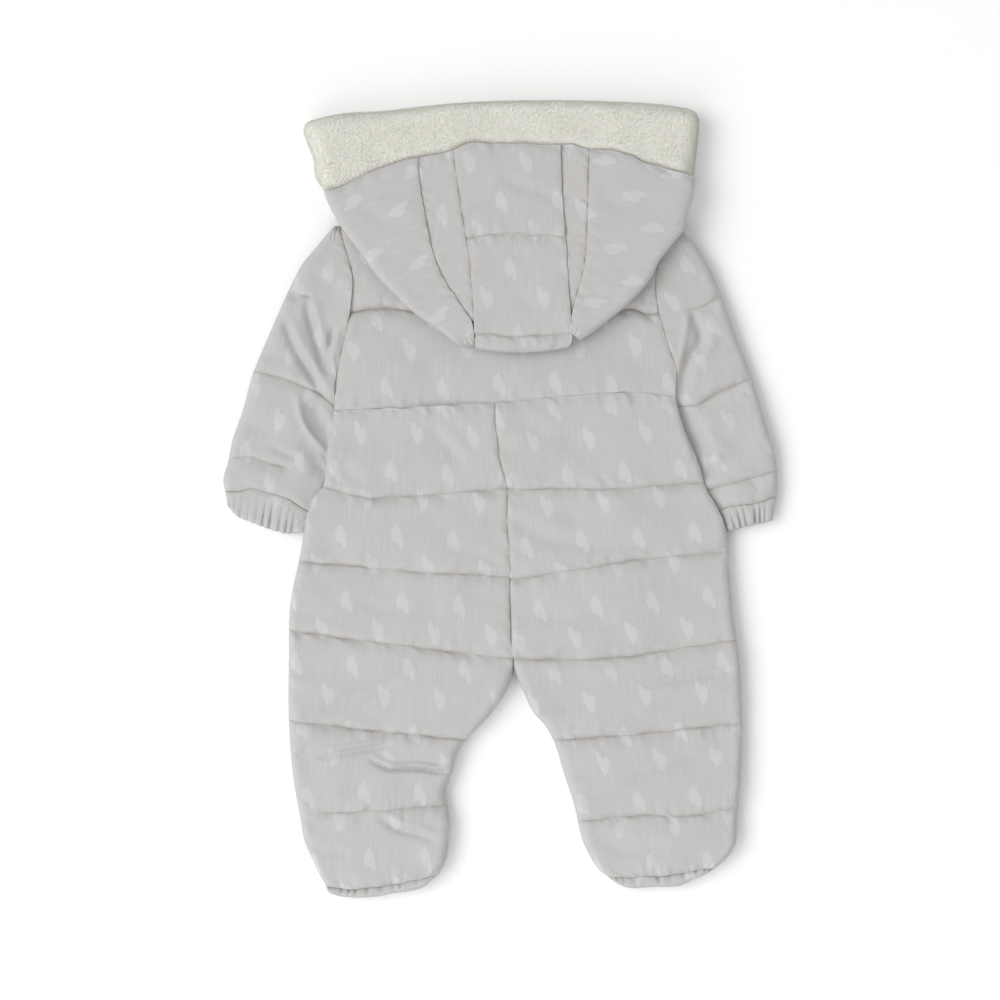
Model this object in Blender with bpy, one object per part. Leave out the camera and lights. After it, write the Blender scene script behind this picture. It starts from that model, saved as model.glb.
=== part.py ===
"""A baby's quilted, padded all-in-one with feet and a hood, laid face down on a table.

The garment is a stack of padded panels. Front panels lie on the table with their flat
side down, back panels lie on them, and the hood is turned back over the yoke with its
fleece brim towards +Y. Each panel is one closed wall: a plain flat inside and a puffed
outside that is pinched along the quilting rows and rounded down at the seams.

Frame: metres, +Z up, +Y towards the hood, +X to the right as seen from above the back,
origin on the table under the middle of the garment. Tables are in millimetres.
"""

import math
from typing import NamedTuple

import bmesh
import bpy
import numpy as np
from mathutils import Matrix

MM = 0.001
SEAM_GAP = 0.9  # between panels sewn side by side
SEAM_WALL = 1.8  # wall left where a panel is sewn down
GRID_STEP = 15.0  # widest spacing of a panel's rows and columns
NEAR_SEAM = (0.0, 2.2, 7.5)  # closer rows and columns beside a seam

# Heights of the plain insides. Each pair of layers is 0.3 mm apart.
BODY_FRONT_TOP = 7.85
BODY_BACK_BASE = 8.15
SLEEVE_FRONT_TOP = 7.85
SLEEVE_BACK_BASE = 8.15
FOLD_BASE = 17.7
HOOD_BASE = 25.5
NECK_MIDDLE = 12.5
BRIM_MIDDLE = 13.0
LAYER_GAP = 0.3

# How far each kind of panel puffs up over its seams.
BODY_PUFF = 8.6
YOKE_PUFF = 7.1
SLEEVE_PUFF = 6.4
CUFF_PUFF = 4.6
SOLE_PUFF = 5.6
HOOD_PUFF = 5.4
STRIP_PUFF = 4.2
FOLD_PUFF = 5.4
BRIM_PUFF = 15.8

# Rounding of the panels' edges, and half the width of a pinch along a quilting row.
SIDE_ROUND = 14.0
SEAM_ROUND = 7.0
FRONT_ROUND = 8.0
BRIM_ROUND = 15.0
PINCH = 19.0

ZIP_X = 5.0
ZIP_HALF = 5.0
ZIP_TOP = 226.0
ZIP_BOTTOM = -92.0
SLIDER_Y = 216.0
TAPE_HALF = 4.6
TAPE_BASE = 6.3
TAPE_TOP = 7.6
CHAIN_HALF = 2.0
CHAIN_BASE = 4.6
SLIDER_BASE = 3.1
PLATE = 1.2
HINGE_Y = SLIDER_Y - 3.0
HINGE_Z = 1.6
PIN_RADIUS = 0.45
HOLE_RADIUS = 0.8
EYE_RADIUS = 1.25
POST_NEAR = 2.4
POST_FAR = 3.4
TAB_HALF = 2.0
TAB_THICK = 1.0
TAB_LENGTH = 24.0

# Colour and roughness of the two cloths.
LINEN = ("C9C8C6", 0.85)
FLEECE = ("ECEADF", 0.95)

# ---- Outlines: y against x along each long edge, from the hood down to the feet.


class Knot(NamedTuple):
    """A point that a long edge passes through."""

    y: float
    x: float


BODY_LEFT = [
    Knot(222, -129), Knot(209, -127), Knot(193, -122), Knot(178, -119), Knot(149, -121),
    Knot(122, -127), Knot(98, -132), Knot(70, -134), Knot(36, -139), Knot(20, -140.5),
    Knot(11, -142.5), Knot(3, -149), Knot(-10, -154.5), Knot(-42, -160.5), Knot(-84, -169),
    Knot(-123, -170), Knot(-177, -170), Knot(-218, -167), Knot(-257, -160.5),
    Knot(-273, -157.5), Knot(-289, -150.5), Knot(-303, -143.5), Knot(-309, -139.5),
]
BODY_RIGHT = [
    Knot(222, 133), Knot(204, 127.5), Knot(183, 123.5), Knot(169, 123), Knot(152, 125),
    Knot(118, 135), Knot(106, 139), Knot(82, 139), Knot(56, 146), Knot(27, 158),
    Knot(7, 164.5), Knot(-5, 171.5), Knot(-26, 180.5), Knot(-48, 182), Knot(-89, 185),
    Knot(-125, 190), Knot(-173, 192.4), Knot(-218, 191.6), Knot(-259, 188),
    Knot(-275, 187), Knot(-281, 184), Knot(-289, 177), Knot(-293, 172.5), Knot(-297, 168),
]
CENTRE_BACK = [
    Knot(90, -5.2), Knot(56, -4.4), Knot(36, -2), Knot(16, 2.8), Knot(4, 4.4),
    Knot(-16, 4.4), Knot(-40, 6), Knot(-88, 6.8), Knot(-112, 7.6), Knot(-130, 9.2),
]
INSEAM_LEFT = [
    Knot(-144, 7.6), Knot(-157, 1.2), Knot(-170, -7.6), Knot(-189, -25.2),
    Knot(-200, -34.3), Knot(-216, -38.8), Knot(-237, -45.2), Knot(-250, -42.4),
    Knot(-277, -42.4), Knot(-287, -44.4), Knot(-296, -48.4), Knot(-300, -51),
]
INSEAM_RIGHT = [
    Knot(-144, 13.2), Knot(-155, 18.4), Knot(-170, 25.6), Knot(-180, 34.5),
    Knot(-191, 40.8), Knot(-218, 49.7), Knot(-250, 59.6), Knot(-262, 62),
    Knot(-275, 65.8), Knot(-287, 72), Knot(-297, 79.2), Knot(-303, 88),
]
ZIP_END_LEFT = [Knot(-100, 4.0), Knot(-113, 6.0), Knot(-130, 8.2)]
ZIP_END_RIGHT = [Knot(-100, 7.4), Knot(-113, 8.8), Knot(-130, 10.0)]
ZIP_LEFT = [Knot(y, ZIP_X - ZIP_HALF) for y in (ZIP_TOP, 0, -80, -86, ZIP_BOTTOM)]
ZIP_RIGHT = [Knot(y, ZIP_X + ZIP_HALF) for y in (ZIP_TOP, 0, -80, -86, ZIP_BOTTOM)]
SLEEVE_LEFT = [
    Knot(222, -131), Knot(216, -136.5), Knot(201, -149), Knot(189, -159), Knot(176, -166),
    Knot(159, -174), Knot(120, -191), Knot(103, -198), Knot(68, -208), Knot(48, -215),
    Knot(29, -219), Knot(16, -222.5), Knot(7, -221), Knot(-5, -219),
]
SLEEVE_RIGHT = [
    Knot(222, 141), Knot(216, 145), Knot(202, 156.5), Knot(189, 164.5), Knot(172, 172.5),
    Knot(154, 179.5), Knot(128, 188.5), Knot(108, 196.5), Knot(76, 207), Knot(54, 213.5),
    Knot(38, 218.5), Knot(21, 220.4), Knot(6, 220.4), Knot(-8, 218), Knot(-17, 217),
]
HOOD_LEFT = [
    Knot(246, -141.5), Knot(236, -138), Knot(222, -130.6), Knot(207, -120.2),
    Knot(194.6, -110.4), Knot(179, -99.6), Knot(168, -89.6), Knot(158, -79.2),
    Knot(150, -71), Knot(141, -58.8), Knot(134, -48.4), Knot(126, -38.2), Knot(119, -27),
]
HOOD_RIGHT = [
    Knot(256, 154), Knot(240, 152), Knot(223, 147), Knot(216, 145.5), Knot(202, 135),
    Knot(191, 126.5), Knot(178, 120), Knot(164, 109), Knot(152, 96.4), Knot(142, 83.6),
    Knot(132, 70.8), Knot(124, 57),
]
STRIP_LEFT_OUT = [
    Knot(274, -66.8), Knot(250, -64.8), Knot(221.4, -59.6), Knot(196.8, -54.6),
    Knot(176.2, -46.3), Knot(157.8, -34), Knot(148, -27.6),
]
STRIP_LEFT_IN = [
    Knot(284, -39.6), Knot(240, -33.2), Knot(210, -28.4), Knot(168, -23.6), Knot(119, -21),
]
STRIP_RIGHT_IN = [
    Knot(284, 46.8), Knot(240, 48.4), Knot(200, 51.6), Knot(168, 53.2), Knot(130, 56),
    Knot(125, 55.5), Knot(120, 52),
]
STRIP_RIGHT_OUT = [
    Knot(280, 69.4), Knot(244, 68.8), Knot(201.8, 67.1), Knot(183, 65), Knot(164, 59.8),
    Knot(156, 57.6),
]
SIDE_LEFT_IN = [
    *STRIP_LEFT_OUT, Knot(142, -24.2), Knot(136, -22.8), Knot(128, -22.2), Knot(120, -21.6),
]
SIDE_RIGHT_IN = [
    *STRIP_RIGHT_OUT, Knot(148, 56.4), Knot(140, 56.3), Knot(130, 56.7),
]
BRIM_LEFT = [
    Knot(300, -157.5), Knot(296, -158.8), Knot(285, -156), Knot(272, -151),
    Knot(257, -149), Knot(251, -145.6), Knot(246, -141.5),
]
BRIM_RIGHT = [
    Knot(309, 156), Knot(305, 157.6), Knot(290, 157.6), Knot(272, 155.6), Knot(256, 153.5),
]


class Point(NamedTuple):
    """A point of a cross seam."""

    x: float
    y: float


BRIM_SEAM = [
    Point(-142, 246), Point(-131, 247.5), Point(-113, 256.5), Point(-88, 267),
    Point(-67, 272), Point(-40, 277.5), Point(-30, 282), Point(2, 283.5),
    Point(45, 282.5), Point(62, 281), Point(69, 278), Point(80, 278.5), Point(101, 273.5),
    Point(122, 265), Point(139, 260.5), Point(154, 256),
]
BRIM_TOP = [
    Point(-158, 299), Point(-156, 301), Point(-143.6, 305.6), Point(-126, 309),
    Point(-94, 311), Point(-62, 314.7), Point(-30, 317.6), Point(13, 319.2),
    Point(56, 319.2), Point(88, 318.4), Point(120, 316.8), Point(141.5, 314),
    Point(152.5, 311), Point(156.5, 308),
]
SHOULDER_LINE = [
    Point(-138, 222), Point(-129, 224), Point(-100, 232), Point(-69, 239), Point(3, 241),
    Point(75, 239), Point(110, 231), Point(133, 224), Point(150, 220),
]
SOLE_LEFT_END = [
    Point(-139, -312.5), Point(-132, -316.2), Point(-119, -317.8), Point(-99, -316.8),
    Point(-85.5, -314.2), Point(-69, -311.8), Point(-60.4, -308), Point(-55.6, -303.5),
]
SOLE_RIGHT_END = [
    Point(91, -306), Point(97, -308.8), Point(124, -309.2), Point(144, -308),
    Point(152, -304), Point(160, -300.8),
]
CUFF_LEFT_END = [
    Point(-212, -12.8), Point(-200, -18), Point(-186, -23.2), Point(-169, -27.2),
]
CUFF_RIGHT_END = [Point(195, -21.6), Point(208, -19)]


# ---- Curves and grids.


def smooth(knots, values, at):
    """Values at some places of the smooth curve that passes through the knots."""
    knots = np.asarray(knots, float)
    values = np.asarray(values, float)
    shape = (-1,) + (1,) * (values.ndim - 1)
    slope = np.gradient(values, knots, axis=0)
    i = np.clip(np.searchsorted(knots, at, side="right") - 1, 0, len(knots) - 2)
    step = (knots[i + 1] - knots[i]).reshape(shape)
    t = ((at - knots[i]) / (knots[i + 1] - knots[i])).reshape(shape)
    start = values[i] * (1 + 2 * t) + slope[i] * step * t
    end = values[i + 1] * (3 - 2 * t) + slope[i + 1] * step * (t - 1)
    return start * (1 - t) ** 2 + end * t**2


def edge_x(edge, y):
    """x of a long edge at each height y."""
    table = sorted(edge)
    y = np.clip(np.atleast_1d(np.asarray(y, float)), table[0].y, table[-1].y)
    return smooth([k.y for k in table], [k.x for k in table], y)


def on(edge, y, shift=0.0):
    """The point of a long edge at height y, moved sideways by shift."""
    return Point(float(edge_x(edge, y)[0]) + shift, y)


def moved(edge, shift):
    """A long edge moved sideways."""
    return [Knot(k.y, k.x + shift) for k in edge]


def along(seam, low, high, shift=0.0):
    """The knots of a cross seam between two x values, moved by shift along y."""
    return [Point(p.x, p.y + shift) for p in seam if low < p.x < high]


def at(seam, x, shift=0.0):
    """The point of a cross seam at x, moved by shift along y."""
    y = smooth([p.x for p in seam], [p.y for p in seam], np.array([float(x)]))[0]
    return Point(x, float(y) + shift)


class Row(NamedTuple):
    """A cross line of a panel from its left edge to its right edge.

    pinch is how far the padding is drawn down there: 1 at a seam, 0 on a plain row.
    """

    left: Point
    inner: list
    right: Point
    pinch: float


def row_points(row, share):
    """Points of a row at each share of its length, as an array with x and y last."""
    points = np.array([row.left, *row.inner, row.right], float)
    run = np.concatenate([[0], np.cumsum(np.linalg.norm(np.diff(points, axis=0), axis=1))])
    return smooth(run / run[-1], points, share)


def spaced(length, step):
    """Places from 0 to length, closer together beside both ends."""
    near = [d for d in NEAR_SEAM if d < length / 3]
    count = max(1, math.ceil((length - 2 * near[-1]) / step))
    middle = np.linspace(near[-1], length - near[-1], count + 1)
    return np.unique(np.concatenate([near, middle, [length - d for d in near]]).round(6))


class Fold(NamedTuple):
    """A soft trough, or with a negative depth a ridge, along a straight line."""

    x1: float
    y1: float
    x2: float
    y2: float
    width: float
    depth: float


LEFT_SLEEVE_FOLDS = [
    Fold(-171, 144, -146, 88, 7, 3.2),
    Fold(-152, 144, -140, 98, 5, 2.4),
    Fold(-134, 135, -137, 100, 4, 2.0),
    Fold(-158, 68, -141, 38, 7, 2.6),
    Fold(-164, 88, -150, 52, 6, -1.6),
]
RIGHT_SLEEVE_FOLDS = [
    Fold(151, 152, 142, 104, 6, 4.0),
    Fold(162, 150, 158, 122, 6, 1.6),
]
LEFT_BACK_FOLDS = [
    Fold(-145, -206, -89, -200, 6, 1.6),
    Fold(-101, -210, -40, -216, 6, 2.0),
    Fold(-85, -258, -57, -268, 6, 1.6),
    Fold(-137, -172, -57, -132, 9, 1.4),
    Fold(-57, 56, -33, 32, 7, 1.4),
]
RIGHT_BACK_FOLDS = [
    Fold(31, -168, 110, -148, 6, 1.6),
    Fold(110, -148, 186, -134, 5, 2.0),
    Fold(58, -237, 110, -224, 7, 1.6),
    Fold(110, -224, 186, -204, 6, 1.8),
    Fold(11, -20, 94, -36, 9, 1.4),
    Fold(94, -36, 150, -32, 9, 1.2),
]


class Panel(NamedTuple):
    """A padded wall. Heights are in millimetres over the table.

    base is its plain inside, and puff is added to the seam wall outside it, upwards, or
    downwards where facing is -1. lift is the share of the puff kept at each side edge.
    """

    rows: list
    left: list
    right: list
    base: float
    puff: float
    facing: int = 1
    left_round: float = SIDE_ROUND
    right_round: float = SIDE_ROUND
    left_lift: float = 0.0
    right_lift: float = 0.0
    pinch_width: float = PINCH
    folds: list = []
    gathers: int = 0
    gather_depth: float = 0.0
    step: float = GRID_STEP
    column_step: float = GRID_STEP


def rounding(distance, radius):
    """Share of the full height at a distance from a rounded edge."""
    t = np.clip(distance / radius, 0, 1)
    return np.sqrt(1 - (1 - t) ** 2)


def fold_depth(folds, x, y):
    """How far the folds lower the cloth at each point."""
    depth = np.zeros_like(x)
    for fold in folds:
        run = np.array([fold.x2 - fold.x1, fold.y2 - fold.y1])
        length = np.linalg.norm(run)
        t = ((x - fold.x1) * run[0] + (y - fold.y1) * run[1]) / length**2
        across = ((x - fold.x1) * run[1] - (y - fold.y1) * run[0]) / length
        ends = np.clip(np.minimum(t, 1 - t) * 3 + 0.5, 0, 1)
        depth += fold.depth * np.exp(-((across / fold.width) ** 2)) * ends
    return depth


def panel_points(panel):
    """The outer points of a panel, rows by columns, in millimetres."""
    ends = np.array([0.0, 0.5, 1.0])
    probe = np.array([row_points(row, ends) for row in panel.rows])
    gaps = np.linalg.norm(np.diff(probe, axis=0), axis=2).max(axis=1)
    places = np.concatenate([[0], np.cumsum(gaps)])
    pinched = [p for p, row in zip(places, panel.rows) if row.pinch > 0]
    stops = sorted({0.0, *pinched, places[-1]})
    down = np.unique(np.concatenate(
        [a + spaced(b - a, panel.step) for a, b in zip(stops, stops[1:])]).round(6))
    width = float(np.linalg.norm(probe[:, 2] - probe[:, 0], axis=1).mean())
    if panel.gathers:
        share = np.linspace(0, 1, panel.gathers * 4 + 1)
    else:
        share = spaced(width, panel.column_step) / width
    knots = np.array([row_points(row, share) for row in panel.rows])
    grid = smooth(places, knots, down)
    x, y = grid[..., 0], grid[..., 1]
    if panel.left:
        off = edge_x(panel.left, y[:, 0]) + SEAM_GAP / 2 - x[:, 0]
        x += off[:, None] * (1 - share) ** 3
    if panel.right:
        off = edge_x(panel.right, y[:, -1]) - SEAM_GAP / 2 - x[:, -1]
        x += off[:, None] * share**3
    from_left = np.hypot(x - x[:, :1], y - y[:, :1])
    from_right = np.hypot(x - x[:, -1:], y - y[:, -1:])
    left = panel.left_lift + (1 - panel.left_lift) * rounding(from_left, panel.left_round)
    right = panel.right_lift + (1 - panel.right_lift) * rounding(from_right, panel.right_round)
    full = left * right
    for place, row in zip(places, panel.rows):
        drawn = row.pinch * (1 - rounding(np.abs(down - place), panel.pinch_width))
        full = full * (1 - drawn)[:, None]
    height = SEAM_WALL + panel.puff * full
    lowered = fold_depth(panel.folds, x, y) * full
    if panel.gathers:
        wave = (0.5 + 0.5 * np.cos(2 * math.pi * panel.gathers * share)) ** 2
        lowered = lowered + panel.gather_depth * wave * np.sqrt(full)
    height = np.maximum(height - lowered, SEAM_WALL)
    return np.stack([x, y, panel.base + panel.facing * height], axis=-1)


# ---- Building.


def clear_scene():
    """Remove every object that is in the scene."""
    for obj in list(bpy.data.objects):
        bpy.data.objects.remove(obj, do_unlink=True)


def finish_material(name, hex_colour, roughness, metallic=0.0):
    """A Principled material with a plain colour."""
    channels = [int(hex_colour[i : i + 2], 16) / 255 for i in (0, 2, 4)]
    linear = [c / 12.92 if c <= 0.04045 else ((c + 0.055) / 1.055) ** 2.4 for c in channels]
    material = bpy.data.materials.new(name)
    material.use_nodes = True
    shader = material.node_tree.nodes["Principled BSDF"]
    shader.inputs["Base Color"].default_value = (*linear, 1.0)
    shader.inputs["Roughness"].default_value = roughness
    shader.inputs["Metallic"].default_value = metallic
    return material


def new_object(name, mesh, collection, material):
    """An object with one material in a collection."""
    obj = bpy.data.objects.new(name, mesh)
    obj.data.materials.append(material)
    collection.objects.link(obj)
    return obj


def build_panel(name, panel, collection, material):
    """A padded panel: its puffed grid, a narrow rim and a flat inside."""
    points = panel_points(panel) * MM
    rows, columns = points.shape[:2]
    bm = bmesh.new()
    bmesh.ops.create_grid(bm, x_segments=columns - 1, y_segments=rows - 1, size=1.0)
    for vert in bm.verts:
        column = round((vert.co.x + 1) / 2 * (columns - 1))
        row = round((1 - vert.co.y) / 2 * (rows - 1))
        vert.co = points[row, column]
    border = [edge for edge in bm.edges if edge.is_boundary]
    made = bmesh.ops.extrude_edge_only(bm, edges=border)["geom"]
    for vert in (v for v in made if isinstance(v, bmesh.types.BMVert)):
        vert.co.z = panel.base * MM
    bmesh.ops.holes_fill(bm, edges=[e for e in bm.edges if e.is_boundary], sides=0)
    bmesh.ops.recalc_face_normals(bm, faces=bm.faces)
    mesh = bpy.data.meshes.new(name)
    bm.to_mesh(mesh)
    bm.free()
    mesh.shade_smooth()
    mesh.set_sharp_from_angle(angle=math.radians(50))
    return new_object(name, mesh, collection, material)


def seam_row(left, inner, right):
    """A row where the panel is sewn down."""
    return Row(left, inner, right, 1.0)


def quilt_row(left, inner, right, pinch=0.6):
    """A row of quilting."""
    return Row(left, inner, right, pinch)


def plain_row(left, inner, right):
    """A row that only guides the outline."""
    return Row(left, inner, right, 0.0)


def body_panels():
    """The yoke, the two backs with their legs, and the two fronts."""
    left_leg = CENTRE_BACK + INSEAM_LEFT
    right_leg = CENTRE_BACK + INSEAM_RIGHT
    front_left_edge = ZIP_LEFT + ZIP_END_LEFT + INSEAM_LEFT
    front_right_edge = ZIP_RIGHT + ZIP_END_RIGHT + INSEAM_RIGHT
    yoke = [
        seam_row(on(BODY_LEFT, 221), along(SHOULDER_LINE, -110, 120, -1.5),
                 on(BODY_RIGHT, 221)),
        quilt_row(on(BODY_LEFT, 149), [Point(-92, 153), Point(96, 152)],
                  on(BODY_RIGHT, 150), 0.7),
        seam_row(on(BODY_LEFT, 71.8),
                 [Point(-70, 74.3), Point(-5, 77.8), Point(60, 83.8), Point(110, 86.3)],
                 on(BODY_RIGHT, 82)),
    ]
    back_left = [
        seam_row(on(BODY_LEFT, 71.2), [Point(-70, 73.7)], on(left_leg, 77.2)),
        plain_row(on(BODY_LEFT, 42), [], on(left_leg, 45)),
        quilt_row(on(BODY_LEFT, 10), [Point(-106, 1.6), Point(-69, 3.2)],
                  on(left_leg, 8.8)),
        quilt_row(on(BODY_LEFT, -49), [Point(-105, -54)], on(left_leg, -62)),
        quilt_row(on(BODY_LEFT, -104), [Point(-81, -116)], on(left_leg, -127)),
        plain_row(on(BODY_LEFT, -140), [], on(left_leg, -160)),
        quilt_row(on(BODY_LEFT, -176), [Point(-121, -182)], on(left_leg, -192)),
        quilt_row(on(BODY_LEFT, -250), [Point(-109, -248.6)], on(left_leg, -243.5)),
        plain_row(on(BODY_LEFT, -281), [], on(left_leg, -278)),
        seam_row(on(BODY_LEFT, -307.5),
                 [Point(-125, -310), Point(-97, -308), Point(-77, -305)],
                 on(left_leg, -299)),
    ]
    back_right = [
        seam_row(on(right_leg, 77.2), [Point(60, 83.2), Point(110, 85.7)],
                 on(BODY_RIGHT, 81.4)),
        plain_row(on(right_leg, 45), [], on(BODY_RIGHT, 50)),
        quilt_row(on(right_leg, 8.8), [Point(111, 10)], on(BODY_RIGHT, 14)),
        quilt_row(on(right_leg, -64), [Point(111, -48)], on(BODY_RIGHT, -41)),
        quilt_row(on(right_leg, -127), [Point(79, -127), Point(159, -116)],
                  on(BODY_RIGHT, -112)),
        plain_row(on(right_leg, -160), [], on(BODY_RIGHT, -146)),
        quilt_row(on(right_leg, -192), [Point(95, -188)], on(BODY_RIGHT, -178)),
        quilt_row(on(right_leg, -257), [Point(111, -252), Point(159, -251)],
                  on(BODY_RIGHT, -245)),
        plain_row(on(right_leg, -281), [], on(BODY_RIGHT, -273)),
        seam_row(on(right_leg, -301.5), [Point(109, -301), Point(126, -299.6)],
                 on(BODY_RIGHT, -292.5)),
    ]
    front_left = [
        seam_row(on(BODY_LEFT, 221), along(SHOULDER_LINE, -110, -60, -3),
                 on(front_left_edge, ZIP_TOP)),
        plain_row(on(BODY_LEFT, 150), [], on(front_left_edge, 150)),
        plain_row(on(BODY_LEFT, 71), [], on(front_left_edge, 71)),
        plain_row(on(BODY_LEFT, 0), [], on(front_left_edge, 0)),
        plain_row(on(BODY_LEFT, -74), [], on(front_left_edge, -90)),
        plain_row(on(BODY_LEFT, -104), [], on(front_left_edge, -127)),
        plain_row(on(BODY_LEFT, -176), [], on(front_left_edge, -192)),
        plain_row(on(BODY_LEFT, -249), [], on(front_left_edge, -245)),
        plain_row(on(BODY_LEFT, -285), [Point(-97, -284)], on(front_left_edge, -283)),
        seam_row(on(BODY_LEFT, -306), SOLE_LEFT_END, on(front_left_edge, -299.5)),
    ]
    front_right = [
        seam_row(on(front_right_edge, ZIP_TOP), along(SHOULDER_LINE, 60, 120, -3),
                 on(BODY_RIGHT, 221)),
        plain_row(on(front_right_edge, 150), [], on(BODY_RIGHT, 150)),
        plain_row(on(front_right_edge, 71), [], on(BODY_RIGHT, 71)),
        plain_row(on(front_right_edge, 0), [], on(BODY_RIGHT, 0)),
        plain_row(on(front_right_edge, -90), [], on(BODY_RIGHT, -78)),
        plain_row(on(front_right_edge, -127), [], on(BODY_RIGHT, -112)),
        plain_row(on(front_right_edge, -192), [], on(BODY_RIGHT, -178)),
        plain_row(on(front_right_edge, -250), [], on(BODY_RIGHT, -245)),
        plain_row(on(front_right_edge, -283), [Point(120, -280)], on(BODY_RIGHT, -277)),
        seam_row(on(front_right_edge, -301), SOLE_RIGHT_END, on(BODY_RIGHT, -295)),
    ]
    front_puff = BODY_FRONT_TOP - SEAM_WALL
    front = dict(base=BODY_FRONT_TOP, puff=front_puff, facing=-1, pinch_width=FRONT_ROUND,
                 column_step=40.0)
    return {
        "back_yoke": Panel(yoke, BODY_LEFT, BODY_RIGHT, BODY_BACK_BASE, YOKE_PUFF,
                           left_round=SEAM_ROUND, right_round=SEAM_ROUND),
        "back_left": Panel(back_left, BODY_LEFT, left_leg, BODY_BACK_BASE, BODY_PUFF,
                           right_round=SEAM_ROUND, folds=LEFT_BACK_FOLDS),
        "back_right": Panel(back_right, right_leg, BODY_RIGHT, BODY_BACK_BASE, BODY_PUFF,
                            left_round=SEAM_ROUND, folds=RIGHT_BACK_FOLDS),
        "front_left": Panel(front_left, BODY_LEFT, front_left_edge, right_round=4.0,
                            left_round=FRONT_ROUND, **front),
        "front_right": Panel(front_right, front_right_edge, BODY_RIGHT, left_round=4.0,
                             right_round=FRONT_ROUND, **front),
    }


def sole_panels():
    """The gathered end of each foot, from the foot seam round to the front."""
    left = [
        seam_row(Point(-139.5, -308.6),
                 [Point(-125, -310.8), Point(-97, -308.8), Point(-77, -305.8)],
                 Point(-54, -300.2)),
        seam_row(Point(-140, -310.4), SOLE_LEFT_END, Point(-53, -301)),
    ]
    right = [
        seam_row(Point(88.5, -302.6), [Point(109, -301.9), Point(126, -300.5)],
                 Point(166, -294.4)),
        seam_row(Point(89, -304.5), SOLE_RIGHT_END, Point(167, -296.6)),
    ]
    made = dict(left=[], right=[], base=BODY_BACK_BASE, puff=SOLE_PUFF, left_round=5.0,
                right_round=5.0, pinch_width=5.0, gather_depth=1.6, step=4.0)
    return {
        "sole_left": Panel(left, gathers=10, **made),
        "sole_right": Panel(right, gathers=7, **made),
    }


def sleeve_panels():
    """Each sleeve's upper and lower wall, with its elasticated cuff casing."""
    inner_left = moved(BODY_LEFT, -0.6)
    inner_right = moved(BODY_RIGHT, 0.6)
    left_cap = Row(on(SLEEVE_LEFT, 219), [], on(inner_left, 219), 1.0)
    left_casing = (on(SLEEVE_LEFT, 6.4), [Point(-193, 8), Point(-178, 3.2)],
                   on(inner_left, -9))
    left_end = (on(SLEEVE_LEFT, -5), CUFF_LEFT_END, on(inner_left, -25.5))
    left_back = [
        left_cap,
        quilt_row(on(SLEEVE_LEFT, 166), [], on(inner_left, 158), 0.3),
        quilt_row(on(SLEEVE_LEFT, 103), [Point(-168, 95), Point(-146, 85)],
                  on(inner_left, 75)),
        quilt_row(on(SLEEVE_LEFT, 33), [Point(-200, 33.6), Point(-183, 29)],
                  on(inner_left, 13)),
        quilt_row(*left_casing, 0.9),
    ]
    right_cap = Row(on(inner_right, 219), [], on(SLEEVE_RIGHT, 217), 1.0)
    right_casing = (on(inner_right, -9), [Point(180, -6.5), Point(200, -3)],
                    on(SLEEVE_RIGHT, 2.4))
    right_end = (on(inner_right, -25.5), CUFF_RIGHT_END, on(SLEEVE_RIGHT, -16.4))
    right_back = [
        right_cap,
        quilt_row(on(inner_right, 152), [Point(158, 153.6)], on(SLEEVE_RIGHT, 163), 0.4),
        quilt_row(on(inner_right, 75), [Point(156, 76), Point(172, 85)],
                  on(SLEEVE_RIGHT, 97)),
        quilt_row(on(inner_right, 7), [Point(187, 14)], on(SLEEVE_RIGHT, 23.6)),
        quilt_row(*right_casing, 0.9),
    ]
    back = dict(base=SLEEVE_BACK_BASE, puff=SLEEVE_PUFF)
    front = dict(base=SLEEVE_FRONT_TOP, puff=SLEEVE_FRONT_TOP - SEAM_WALL, facing=-1,
                 pinch_width=FRONT_ROUND, left_round=FRONT_ROUND, right_round=FRONT_ROUND)
    tucked = dict(left_round=SEAM_ROUND, left_lift=0.35)
    tucked_left = dict(right_round=SEAM_ROUND, right_lift=0.35)
    below = -1.4  # the casing starts this far below the sleeve's last row

    def lowered(line):
        left, inner, right = line
        shift = [Point(p.x, p.y + below) for p in (left, *inner, right)]
        return seam_row(shift[0], shift[1:-1], shift[-1])

    cuff = dict(puff=CUFF_PUFF, pinch_width=6.0, left_round=5.0, right_round=5.0,
                gather_depth=1.8, step=6.0)
    cuff_front = dict(base=SLEEVE_FRONT_TOP, puff=SLEEVE_FRONT_TOP - SEAM_WALL, facing=-1,
                      pinch_width=5.0, left_round=5.0, right_round=5.0, step=14.0)
    left_cuff = [lowered(left_casing), seam_row(*left_end)]
    right_cuff = [lowered(right_casing), seam_row(*right_end)]
    return {
        "sleeve_left_back": Panel(left_back, SLEEVE_LEFT, inner_left,
                                  folds=LEFT_SLEEVE_FOLDS, **back, **tucked_left),
        "sleeve_left_front": Panel([left_cap, seam_row(*left_casing)], SLEEVE_LEFT,
                                   inner_left, column_step=18.0, **front),
        "sleeve_right_back": Panel(right_back, inner_right, SLEEVE_RIGHT,
                                   folds=RIGHT_SLEEVE_FOLDS, **back, **tucked),
        "sleeve_right_front": Panel([right_cap, seam_row(*right_casing)], inner_right,
                                    SLEEVE_RIGHT, column_step=18.0, **front),
        "cuff_left_back": Panel(left_cuff, SLEEVE_LEFT, inner_left, SLEEVE_BACK_BASE,
                                gathers=9, **cuff),
        "cuff_left_front": Panel(left_cuff, SLEEVE_LEFT, inner_left, **cuff_front),
        "cuff_right_back": Panel(right_cuff, inner_right, SLEEVE_RIGHT, SLEEVE_BACK_BASE,
                                 gathers=7, **cuff),
        "cuff_right_front": Panel(right_cuff, inner_right, SLEEVE_RIGHT, **cuff_front),
    }


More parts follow.
